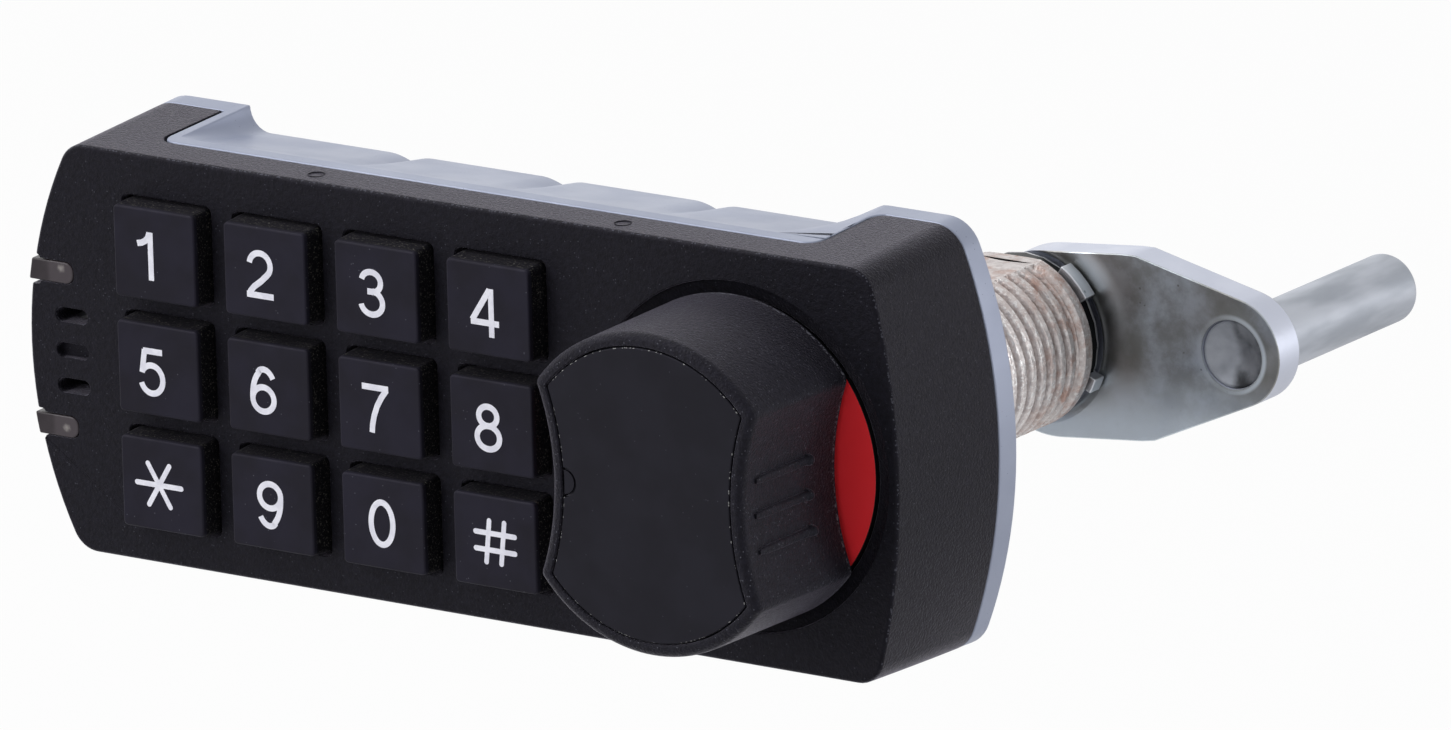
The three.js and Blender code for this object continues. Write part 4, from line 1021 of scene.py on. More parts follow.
@dataclass(frozen=True)
class Outline:
    """The lock body's outline at any depth: bowed ends and round corners."""

    depth: float = 19.3
    left: float = 89.2
    right: float = 19.6
    half: float = 21.9
    bow_left: float = 45.0
    bow_right: float = 78.0
    corner: float = 3.2
    grow_left: float = 1.5
    grow_right: float = 1.6
    grow_half: float = 0.8
    door_bow_left: float = 42.0
    door_bow_right: float = 54.0
    door_corner: float = 4.0
    least: float = 0.7
    bow_steps: int = 12
    corner_steps: int = 8

    def ring(self, y: float, inset: float = 0.0) -> Ring:
        """Makes the outline at one depth.

        Args:
            y: the depth, from minus the body's depth at the front to 0 at the door.
            inset: how far the outline is drawn in.

        Returns:
            The ring.
        """
        share = 1 + y / self.depth
        half = lerp(self.half, self.half + self.grow_half, share) - inset
        corner = max(lerp(self.corner, self.door_corner, share) - inset, self.least)

        def end(reach: float, bow: float) -> Ring:
            """Makes a quarter of the outline.

            Args:
                reach: how far the end lies from the middle.
                bow: the radius of the end's bow.

            Returns:
                The points from the end's middle to the top's.
            """
            centre = reach - bow
            run = math.sqrt((bow - corner) ** 2 - (half - corner) ** 2)
            angle = math.atan2(half - corner, run)
            bowed = arc(centre, 0, bow, 0, angle, self.bow_steps)
            return bowed + arc(centre + run, half - corner, corner, angle, QUARTER, self.corner_steps)[1:]

        right, left = (
            end(lerp(reach, reach + grow, share) - inset, lerp(bow, door_bow, share) - inset)
            for reach, grow, bow, door_bow in (
                (self.right, self.grow_right, self.bow_right, self.door_bow_right),
                (self.left, self.grow_left, self.bow_left, self.door_bow_left)))
        return [
            *right,
            *reversed([(-x, z) for x, z in left]),
            *[(-x, -z) for x, z in left[1:]],
            *list(reversed([(x, -z) for x, z in right]))[:-1],
        ]

    def slab(self, name: str, start: float, stop: float, inset: float = 0.0) -> Piece:
        """Returns the solid between two depths."""
        return loft(name, [(y, self.ring(y, inset)) for y in (start, stop)])


@dataclass(frozen=True)
class Notch:
    """The notch in the top of the cover that the grip block shows through."""

    left: float = 75.6
    right: float = 6.9
    lip: float = 4.8
    corner: float = 2.0
    flare: float = 1.5
    underside: float = 17.6
    seam: float = 0.15
    plate: float = 2.8
    beyond: float = 2.0
    steps: int = 7

    def ring(self, outline: Outline, inset: float) -> Ring:
        """Makes the notch as seen from above.

        Args:
            outline: the body's outline.
            inset: how far the notch is drawn in.

        Returns:
            The ring of x and y pairs.
        """
        left, right = -self.left + inset, self.right - inset
        front = -outline.depth + self.lip + inset
        corner, flare = self.corner - inset, self.flare + inset
        flare_y = -self.plate - self.seam - self.flare
        return [
            (right + flare, self.beyond),
            (left, self.beyond),
            *arc(left + corner, front + corner, corner, 2 * QUARTER, 3 * QUARTER, self.steps),
            *arc(right - corner, front + corner, corner, 3 * QUARTER, 4 * QUARTER, self.steps),
            *arc(right + flare, flare_y, flare, 2 * QUARTER, QUARTER, self.steps),
        ]


@dataclass(frozen=True)
class ScrewPlan:
    """Where the four cover screws stand, and their sizes."""

    left: float = 80.5
    right: float = 12.3
    left_rise: float = 15.6
    right_rise: float = 16.6
    head: float = 2.6
    head_long: float = 1.6
    shank: float = 1.3
    long: float = 8.0
    sunk: float = 0.1

    def spots(self) -> Ring:
        """Returns the screws' places across and up."""
        return [(-self.left, self.left_rise), (-self.left, -self.left_rise),
                (self.right, self.right_rise), (self.right, -self.right_rise)]


@dataclass(frozen=True)
class KeyGrid:
    """The twelve keys' places and sizes."""

    rows: tuple[tuple[str, ...], ...] = (
        ("1", "2", "3", "4"), ("5", "6", "7", "8"), ("star", "9", "0", "hash"))
    right: float = 28.9
    pitch_x: float = 14.05
    pitch_z: float = 12.35
    drop: float = 0.3
    wide: float = 10.3
    tall: float = 9.75
    corner: float = 0.5
    proud: float = 2.35
    edge: float = 0.26
    flare: float = 0.25
    flange: float = 0.55
    flange_thick: float = 0.8

    def spots(self) -> list[tuple[str, float, float]]:
        """Works out where the keys stand.

        Returns:
            Each key's name and centre, row by row from the top left.
        """
        last = len(self.rows[0]) - 1
        return [
            (name, -self.right - (last - c) * self.pitch_x, (1 - r) * self.pitch_z - self.drop)
            for r, row in enumerate(self.rows)
            for c, name in enumerate(row)
        ]


@dataclass(frozen=True)
class WindowPlan:
    """The two indicator windows at the left end."""

    inner: float = 83.4
    outer: float = 92.7
    half: float = 1.15
    rise: float = 8.3
    drop: float = 0.5
    corner: float = 1.0
    flare_x: float = 89.3
    flare_wide: float = 3.4
    flare: float = 0.45

    def ring(self, z: float, gap: float) -> Ring:
        """Makes a window's outline.

        Args:
            z: the window's height.
            gap: how far the outline is grown.

        Returns:
            The ring.
        """
        wide = self.outer - self.inner + gap
        middle = -(self.outer + self.inner - gap) / 2
        return rounded(middle, z, wide, 2 * (self.half + gap), self.corner, 6)

    def spots(self) -> list[tuple[str, float]]:
        """Returns the windows' names and heights."""
        return [("upper", self.rise - self.drop), ("lower", -self.rise - self.drop)]


@dataclass
class Cover:
    """Moulded front cover with all of its openings."""

    outline: Outline
    notch: Notch
    screws: ScrewPlan
    keys: KeyGrid
    windows: WindowPlan
    face_wall: float = 2.0
    side_wall: float = 2.0
    edge: float = 0.4
    edge_steps: int = 6
    rings_behind: tuple[float, float] = (6.0, 11.0)
    cut_edge: float = 0.12
    gap: float = 0.3
    window_gap: float = 0.08
    window_deep: float = 5.7
    over: float = 2.0
    boss: float = 3.0
    slot_x: float = 83.75
    slot_pitch: float = 3.8
    slot_wide: float = 4.1
    slot_tall: float = 1.6
    slot_deep: float = 3.6
    slot_land: float = 0.5
    blind: float = 0.9
    bezel: float = 18.6
    bezel_inner: float = 16.7
    bezel_taper: float = 0.1
    bezel_wall: float = 0.55
    bezel_deep: float = 1.1
    mark_radius: float = 0.9
    marks: tuple[float, float] = (-53.5, -15.1)

    def shell(self) -> Piece:
        """Builds the hollow outer skin with its rounded front edge.

        Returns:
            The skin.
        """
        front, back = -self.outline.depth, -self.notch.plate - self.notch.seam
        sections = []
        for run, inset in rounding(self.edge, self.edge_steps):
            sections.append((front + run, self.outline.ring(front + run, inset)))
        straight = [*(front + run for run in self.rings_behind), back]
        sections += [(y, self.outline.ring(y)) for y in straight]
        inside = [front + self.face_wall, back + self.over]
        cavity = loft("cavity", [(y, self.outline.ring(y, self.side_wall)) for y in inside])
        return combine(loft("cover_shell", sections), Operation.CUT, [cavity])

    def face_tools(self) -> list[Piece]:
        """Makes what cuts the openings for keys and windows.

        Returns:
            The tools, keys first.
        """
        keys, windows, front = self.keys, self.windows, -self.outline.depth
        ahead, behind = front - self.over, front + self.face_wall + self.over
        grow = 2 * (keys.flare + self.gap)
        wide, tall, corner = keys.wide + grow, keys.tall + grow, keys.corner + self.gap
        tools = [prism("key_hole", rounded(x, z, wide, tall, corner, 5), ahead, behind)
                 for _, x, z in keys.spots()]
        flare_tall = 2 * (windows.half + windows.flare)
        for _, z in windows.spots():
            flare = rounded(-windows.flare_x, z, windows.flare_wide, flare_tall, windows.flare, 5)
            for ring in (windows.ring(z, self.window_gap), flare):
                tools.append(prism("window_hole", ring, ahead, front + self.window_deep))
        return tools

    def round_tools(self) -> list[Piece]:
        """Makes what cuts the sound slots and the knob's bezel.

        Returns:
            The tools, slots first.
        """
        tools = []
        front = -self.outline.depth
        ahead, behind = front - self.over, front + self.face_wall + self.over
        for i in (-1, 0, 1):
            z = i * self.slot_pitch - self.windows.drop
            ring = rounded(-self.slot_x, z, self.slot_wide, self.slot_tall, self.slot_tall / 2, 6)
            tools.append(prism("slot", ring, ahead, front + (self.slot_deep if i else self.blind)))
        cone = [(0, ahead), (self.bezel, ahead),
                (self.bezel - self.bezel_taper, front + self.bezel_wall),
                (self.bezel_inner, front + self.bezel_deep), (self.bezel_inner, behind), (0, behind)]
        return [*tools, turned("bezel", cone, 96)]

    def edge_tools(self) -> list[Piece]:
        """Makes what cuts the notch, the marks in its lip and the screw holes.

        Returns:
            The tools in that order.
        """
        top = self.outline.half + self.outline.grow_half + self.over
        ring = self.notch.ring(self.outline, 0)
        tools = [prism("notch", ring, self.notch.underside - self.gap, top, Lay.ALONG_Z)]
        for x in self.marks:
            ring = circle(x, -self.outline.depth + self.notch.lip / 2, self.mark_radius, 6)
            tools.append(prism("mark", ring, self.outline.half, top, Lay.ALONG_Z))
        back = -self.notch.plate - self.gap
        start, stop = back - self.screws.long, back + self.over
        radius = self.screws.shank + self.gap
        return [*tools, *(rod(radius, start, stop, 20, x, z) for x, z in self.screws.spots())]

    def build(self) -> Piece:
        """Builds, dresses and places the cover.

        Returns:
            The cover.
        """
        front, back = -self.outline.depth, -self.notch.plate - self.gap
        inner = front + self.face_wall / 2
        posts = [rod(self.boss, inner, back, 28, x, z) for x, z in self.screws.spots()]
        wide = self.slot_wide + 2 * self.side_wall
        tall = 2 * self.slot_pitch + self.slot_tall + self.side_wall
        ring = rounded(-self.slot_x, -self.windows.drop, wide, tall, self.side_wall, 5)
        posts.append(prism("slot_block", ring, inner, front + self.slot_deep + self.slot_land))
        cover = combine(self.shell(), Operation.JOIN, posts)
        combine(cover, Operation.CUT, [*self.face_tools(), *self.round_tools(), *self.edge_tools()])
        COVER.apply(soften(cover, self.cut_edge, 2, 40), 35)
        return place(cover, HOUSING, "cover_plastic", "front_cover")


@dataclass
class Base:
    """Cast base: the plate at the door and the grip block with its scoop."""

    outline: Outline
    notch: Notch
    screws: ScrewPlan
    gap: float = 0.3
    over: float = 2.0
    beyond: float = 20.0
    through: float = 5.0
    edge: float = 0.2
    sliver: float = 1e-5
    ledge: float = 1.6
    step: float = 0.02
    lead: float = 0.3
    above: float = 0.12
    deep: float = 2.7
    hollow: float = 0.8
    fillet: float = 2.6
    fillet_steps: int = 8
    depth_steps: int = 10
    depth_power: float = 1.3
    scoop_left: float = 74.0
    ramp_half: float = 0.5
    ramp_foot: float = 0.2
    ramp_top: float = 5.6
    ramp_spread: float = 1.6
    foot_shares: tuple[float, float, float] = (1.0, 0.985, 0.92)
    top_shares: tuple[float, float, float] = (0.09, 0.015, 0.0)
    groove_deep: float = 0.65
    groove_half: float = 2.7
    groove_steps: int = 8
    groove_power: float = 1.8
    grooves: tuple[float, ...] = (-53.5, -34.3, -15.1)
    fixing_x: float = 22.6
    fixing_rise: float = 12.0
    fixing_boss: float = 3.0
    fixing_root: float = -1.4
    fixing_hole: float = 1.65
    fixing_skin: float = 1.65
    fixing_front: float = -8.8
    neck: float = 9.8
    neck_flat: float = 9.1

    def floor_shares(self, ramp_top: float) -> Ring:
        """Makes the scoop's floor: a round foot, three grooves and a ramp.

        Args:
            ramp_top: where the ramp reaches the surface.

        Returns:
            Each place across with its share of the scoop's depth.
        """
        points = [(-self.scoop_left + self.fillet * (1 + u), -v)
                  for u, v in arc(0, 0, 1, 2 * QUARTER, 3 * QUARTER, self.fillet_steps)]
        steps = self.groove_steps
        for middle in self.grooves:
            for i in range(-steps, steps + 1):
                dip = (1 - abs(i / steps)) ** self.groove_power
                groove = 1 + dip * self.groove_deep / self.deep
                points.append((middle + i / steps * self.groove_half, groove))
        for middle, shares in ((self.ramp_foot, self.foot_shares), (ramp_top, self.top_shares)):
            points += [(middle + i * self.ramp_half, share) for i, share in zip((-1, 0, 1), shares)]
        return points

    def scoop_ring(self, y: float, block_front: float) -> Ring:
        """Makes the scoop's section at one depth.

        Args:
            y: the depth.
            block_front: the depth of the block's front face.

        Returns:
            The ring, open above the body.
        """
        top = self.outline.half + self.outline.grow_half
        ledge_back = block_front + self.ledge
        run = max(0.0, (y - ledge_back) / -ledge_back)
        depth = lerp(self.step, self.deep, run**self.hollow) if y >= ledge_back else -self.above
        ramp_top = self.ramp_top + self.ramp_spread * (1 - run)
        surface = lerp(self.outline.half, top, 1 + y / self.outline.depth)
        floor = [(x, surface - depth * share) for x, share in self.floor_shares(ramp_top)]
        return [*floor, (ramp_top + self.ramp_half, top + self.over), (-self.scoop_left, top + self.over)]

    def fixings(self, radius: float, start: float, stop: float, steps: int) -> list[Piece]:
        """Returns a rod at each of the two fixing holes, the upper one first."""
        return [rod(radius, start, stop, steps, -self.fixing_x, s * self.fixing_rise) for s in (1, -1)]

    def tools(self, front: float) -> list[Piece]:
        """Makes what cuts the scoop, the neck's opening, the fixing holes and the screw holes.

        Args:
            front: the depth of the block's front face.

        Returns:
            The tools in that order.
        """
        ledge_back, over = front + self.ledge, self.over
        runs = [(i / self.depth_steps) ** self.depth_power for i in range(self.depth_steps + 1)]
        depths = [ledge_back - self.lead, *(lerp(ledge_back, 0, run) for run in runs), over]
        scoop = loft("scoop", [(y, self.scoop_ring(y, front)) for y in depths])
        flats = rectangle(-self.beyond, -self.neck_flat, self.beyond, self.neck_flat)
        flat = prism("flat", flats, -self.through, over)
        neck = combine(rod(self.neck, -self.through, over, 64), Operation.KEEP, [flat])
        holes = self.fixings(self.fixing_hole, self.fixing_front + self.fixing_skin, over, 24)
        head, shank = self.screws.head + self.gap, self.screws.shank + self.gap
        seat = -self.screws.sunk - self.screws.head_long - self.gap
        profile = [(0, -self.through), (shank, -self.through), (shank, seat), (head, seat),
                   (head, over), (0, over)]
        screws = [turned("screw_hole", profile, 24, x, z) for x, z in self.screws.spots()]
        return [scoop, neck, *holes, *screws]

    def build(self) -> Piece:
        """Builds, dresses and places the base.

        Returns:
            The base.
        """
        front, back = -self.outline.depth + self.notch.lip + self.gap, -self.notch.plate
        top = self.outline.half + self.outline.grow_half + self.over
        ring = self.notch.ring(self.outline, self.gap)
        window = prism("window", ring, self.notch.underside, top, Lay.ALONG_Z)
        trim = self.outline.slab("trim", front - self.over, back, -self.over)
        combine(trim, Operation.CUT, [window])
        bosses = self.fixings(self.fixing_boss, self.fixing_front, self.fixing_root, 28)
        base = combine(self.outline.slab("base_shell", front, 0), Operation.CUT, [trim])
        combine(base, Operation.JOIN, bosses)
        combine(base, Operation.CUT, self.tools(front))
        SILVER.apply(tidy(soften(base, self.edge, 3, 38), self.sliver), 32)
        return place(base, HOUSING, "silver_paint", "base_casting")


class Mark(Enum):
    """What is printed on a key."""

    ONE = "1"
    TWO = "2"
    THREE = "3"
    FOUR = "4"
    FIVE = "5"
    SIX = "6"
    SEVEN = "7"
    EIGHT = "8"
    NINE = "9"
    ZERO = "0"
    STAR = "star"
    HASH = "hash"


def oval(x: float, z: float, wide: float, tall: float, start: float, stop: float, steps: int) -> Ring:
    """Returns the points of part of an oval between two angles in degrees."""
    angles = [math.radians(lerp(start, stop, i / steps)) for i in range(steps + 1)]
    return [(x + wide * math.cos(a), z + tall * math.sin(a)) for a in angles]


def glyph_paths(mark: Mark) -> list[Ring]:
    """Gives the centre lines of a key's print.

    Args:
        mark: which key.

    Returns:
        Open lines about the print's middle, five millimetres high in all.
    """
    six = [oval(0, -0.93, 1.3, 1.26, 0, 360, 40),
           oval(0.12, -0.1, 1.42, 2.3, 38, 118, 14) + oval(0.3, -0.75, 1.6, 2.9, 118, 186, 12)]
    paths = {
        Mark.ONE: [[(0.62, -2.5), (0.62, 2.5)],
                   [(-1.0, 1.2), (-0.45, 1.32), (0.0, 1.56), (0.33, 1.93), (0.5, 2.42)]],
        Mark.TWO: [oval(0.02, 0.92, 1.28, 1.27, 172, -32, 26)
                   + [(0.78, -0.1), (0.1, -0.72), (-0.75, -1.35), (-1.2, -1.85), (-1.36, -2.3)],
                   [(-1.66, -2.2), (1.62, -2.2)]],
        Mark.THREE: [oval(-0.02, 1.14, 1.16, 1.05, 168, -78, 30),
                     oval(0.0, -0.98, 1.32, 1.21, 84, -168, 34),
                     [(-0.5, 0.16), (0.2, 0.16)]],
        Mark.FOUR: [[(0.78, -2.5), (0.78, 2.5)], [(-1.72, -1.05), (1.7, -1.05)],
                    [(0.62, 2.4), (-1.55, -0.92)]],
        Mark.FIVE: [[(-0.98, 2.2), (1.36, 2.2)], [(-0.82, 2.3), (-1.2, -0.12)],
                    oval(-0.02, -0.72, 1.36, 1.46, 142, -162, 36)],
        Mark.SIX: six,
        Mark.SEVEN: [[(-1.6, 2.2), (1.62, 2.2)],
                     [(1.4, 2.1), (0.75, 1.25), (0.2, 0.3), (-0.2, -0.75), (-0.42, -1.7), (-0.5, -2.5)]],
        Mark.EIGHT: [oval(0, 1.2, 1.1, 1.0, 0, 360, 36), oval(0, -0.98, 1.36, 1.2, 0, 360, 40)],
        Mark.NINE: [[(-x, -z) for x, z in line] for line in six],
        Mark.ZERO: [oval(0, 0, 1.33, 2.19, 0, 360, 44)],
        Mark.STAR: [[(-3.0, 0), (3.0, 0)], [(-1.45, -2.35), (1.45, 2.35)], [(-1.45, 2.35), (1.45, -2.35)]],
        Mark.HASH: [[(-1.25, -2.35), (-0.75, 2.35)], [(0.75, -2.35), (1.25, 2.35)],
                    [(-2.6, 0.95), (2.6, 0.95)], [(-2.6, -0.95), (2.6, -0.95)]],
    }
    return paths[mark]


def ribbon(path: Ring, half: float, round_ends: bool) -> tuple[list[Ring], bool]:
    """Widens a centre line.

    Args:
        path: the centre line.
        half: half of the line's width.
        round_ends: whether the ends are round.

    Returns:
        The two edges as rings of equally many points, and whether the line closes.
    """
    closed = math.dist(path[0], path[-1]) < 1e-6
    line = path[:-1] if closed else path
    left, right = [], []
    for i, (x, z) in enumerate(line):
        before = line[i - 1] if closed or i else line[i]
        after = line[(i + 1) % len(line)] if closed or i + 1 < len(line) else line[i]
        u, v = after[0] - before[0], after[1] - before[1]
        size = math.hypot(u, v)
        left.append((x - v / size * half, z + u / size * half))
        right.append((x + v / size * half, z - u / size * half))
    if round_ends and not closed:
        u, v = line[-1][0] - line[0][0], line[-1][1] - line[0][1]
        turn = math.atan2(v, u)
        tip = arc(*line[-1], half, turn - QUARTER, turn + QUARTER, 8)[1:-1]
        tail = arc(*line[0], half, turn + QUARTER, turn + 3 * QUARTER, 8)[1:-1]
        return [[*right, *tip, *reversed(left), *tail], []], False
    return [left, right], closed


def bar_faces(start: int, n: int) -> Faces:
    """Makes the faces of a solid between two rings that follow each other.

    Args:
        start: the number of the first point.
        n: how many points each ring has.

    Returns:
        The faces, with both ends first.
    """
    ends = [[start + i for i in range(n)], [start + n + i for i in reversed(range(n))]]
    return ends + [[start + i, start + (i + 1) % n, start + n + (i + 1) % n, start + n + i]
                   for i in range(n)]


def band_faces(start: int, n: int, closed: bool) -> Faces:
    """Makes the faces of a band between four lines that follow each other.

    Args:
        start: the number of the first point.
        n: how many points each line has.
        closed: whether the band runs round to its start.

    Returns:
        The faces, with those of open ends last.
    """
    faces = []
    for i in range(n if closed else n - 1):
        j = (i + 1) % n
        for a, b in ((0, n), (n, 3 * n), (3 * n, 2 * n), (2 * n, 0)):
            faces.append([start + a + i, start + a + j, start + b + j, start + b + i])
    ends = () if closed else (0, n - 1)
    return faces + [[start + i, start + n + i, start + 3 * n + i, start + 2 * n + i] for i in ends]


@dataclass
class Keypad:
    """Twelve rubber keys and their print."""

    outline: Outline
    grid: KeyGrid
    gap: float = 0.3
    face_wall: float = 2.0
    least: float = 0.35
    edge_steps: int = 5
    flare_share: float = 0.6
    stroke: float = 0.33
    print_scale: float = 1.03
    print_thick: float = 0.02
    print_layer: float = 0.003
    print_root: float = 0.05
    sign_scale: float = 0.94
    sign_stroke_share: float = 0.86
    nudges: dict[str, tuple[float, float]] = field(default_factory=lambda: {
        "1": (-1.08, -0.12), "2": (-0.6, -0.12), "3": (-0.55, -0.2), "4": (-0.4, -0.28),
        "5": (-0.82, -0.25), "6": (-0.67, -0.18), "7": (-0.5, -0.15), "8": (-0.42, -0.2),
        "star": (-0.38, 0.04), "9": (-0.25, -0.06), "0": (-0.15, 0.0), "hash": (0.05, 0.04)})

    def cap(self, name: str, x: float, z: float) -> Piece:
        """Builds one key with a rounded face edge and its flange.

        Args:
            name: the key's name.
            x: its place across.
            z: its place upwards.

        Returns:
            The key.
        """
        grid, face = self.grid, -self.outline.depth
        seat = face + self.face_wall + self.gap

        def ring(grow: float) -> Ring:
            """Returns the key's outline, grown on all sides."""
            corner = max(grid.corner + grow, self.least)
            return rounded(x, z, grid.wide + 2 * grow, grid.tall + 2 * grow, corner, 7)

        flange = ring(grid.flare + grid.flange)
        sections = [(face - grid.proud + run, ring(-inset))
                    for run, inset in rounding(grid.edge, self.edge_steps)]
        sections += [(face, ring(grid.flare * self.flare_share)), (seat, ring(grid.flare)),
                     (seat, flange), (seat + grid.flange_thick, flange)]
        return loft(f"key_cap_{name}", sections)

    def legend(self, name: str, x: float, z: float) -> Piece:
        """Builds the print of one key as one thin mesh.

        Args:
            name: the key's name.
            x: the print's place across.
            z: the print's place upwards.

        Returns:
            The print.
        """
        front = -self.outline.depth - self.grid.proud
        mark = Mark(name)
        sign = mark in (Mark.STAR, Mark.HASH)
        scale = self.sign_scale if sign else self.print_scale
        half = self.stroke * (self.sign_stroke_share if sign else 1.0)
        points, faces = [], []
        for level, path in enumerate(glyph_paths(mark)):
            edges, closed = ribbon([(u * scale, v * scale) for u, v in path], half, sign)
            start, n = len(points), len(edges[0])
            ahead = front - self.print_thick - level * self.print_layer
            for y in (ahead, front + self.print_root):
                points += [(x + u, y, z + v) for edge in edges for u, v in edge]
            faces += band_faces(start, n, closed) if edges[1] else bar_faces(start, n)
        return new_piece(f"legend_{name}", points, faces)

    def build(self) -> None:
        """Builds, dresses and places all keys and their print."""
        for name, x, z in self.grid.spots():
            cap = RUBBER.apply(self.cap(name, x, z), 40)
            place(cap, f"key_{name}", "key_rubber", f"key_{name}")
            right, up = self.nudges[name]
            legend = dress(self.legend(name, x + right, z + up), PRINT.material())
            place(legend, f"key_{name}", "key_rubber")


@dataclass
class Indicators:
    """Smoked windows at the left end, and the painted disc behind the knob."""

    outline: Outline
    windows: WindowPlan
    back: float = -13.6
    proud: float = 0.35
    lens_edge: float = 0.18
    disc_radius: float = 16.4
    disc_hole: float = 6.8
    disc_front: float = -18.4
    disc_back: float = -17.2
    disc_edge: float = 0.1
    over: float = 1.0

    def build(self) -> None:
        """Builds, dresses and places the windows and the disc."""
        front = -self.outline.depth
        for name, z in self.windows.spots():
            lens = prism(f"lens_{name}", self.windows.ring(z, 0), front, self.back)
            body = self.outline.slab("body", front, self.back, -self.proud)
            soften(combine(lens, Operation.KEEP, [body]), self.lens_edge, 3, 40)
            place(LENS.apply(lens, 50), HOUSING, "smoked_lens", f"light_pipe_{name}")
        disc = rod(self.disc_radius, self.disc_front, self.disc_back, 96)
        disc.name = "status_quarters"
        hole = rod(self.disc_hole, self.disc_front - self.over, self.disc_back + self.over, 48)
        soften(combine(disc, Operation.CUT, [hole]), self.disc_edge, 2, 40)
        place(STATUS.apply(disc), HOUSING, "status_paint", "status_disc")


class Socketed:
    """A Geometry Nodes tree with named inputs, applied to one mesh."""

    def __init__(self, name: str) -> None:
        """Starts a tree with its geometry input and output.

        Args:
            name: the tree's name.
        """
        self.tree = bpy.data.node_groups.new(name, "GeometryNodeTree")
        for way in ("INPUT", "OUTPUT"):
            self.tree.interface.new_socket("Geometry", in_out=way, socket_type="NodeSocketGeometry")
        self.nodes = Nodes(self.tree)
        self.values: dict[str, object] = {}
        self.given = self.tree.nodes.new("NodeGroupInput")

    def value(self, name: str, kind: str, amount: object) -> Value:
        """Adds a named input.

        Args:
            name: the input's name.
            kind: Float, Int, Vector or Material.
            amount: the value that the modifier sets.

        Returns:
            The output socket inside the tree.
        """
        socket = self.tree.interface.new_socket(name, in_out="INPUT", socket_type=f"NodeSocket{kind}")
        self.values[socket.identifier] = amount
        return Value(self.nodes, self.given.outputs[name])

    def lengths(self, amounts: dict[str, float]) -> list[Value]:
        """Returns a named input for each length in millimetres."""
        return [self.value(name, "Float", amount * MM) for name, amount in amounts.items()]

    def instances(self, count: object, spot: Value) -> Value:
        """Sets out copies of the mesh that the tree works on.

        Args:
            count: how many copies there are.
            spot: where each one stands.

        Returns:
            The copies.
        """
        spots = self.nodes.get("GeometryNodePoints", {"Count": count, "Position": spot})
        values = {"Points": spots, "Instance": Value(self.nodes, self.given.outputs[0])}
        return self.nodes.get("GeometryNodeInstanceOnPoints", values)

    def apply(self, obj: Piece, geometry: Value, material: bpy.types.Material) -> Piece:
        """Ends the tree, runs it on a mesh and keeps the plain result.

        Args:
            obj: the mesh object that the tree works on.
            geometry: the tree's last geometry.
            material: the finish of the result.

        Returns:
            The same object with its new mesh.
        """
        finish = self.value("Finish", "Material", material)
        real = self.nodes.get("GeometryNodeRealizeInstances", {0: geometry})
        dressed = self.nodes.get("GeometryNodeSetMaterial", {"Geometry": real, "Material": finish})
        self.nodes.add("NodeGroupOutput", {0: dressed})
        modifier = obj.modifiers.new(self.tree.name, "NODES")
        modifier.node_group = self.tree
        for identifier, amount in self.values.items():
            modifier[identifier] = amount
        return evaluated_mesh(obj)


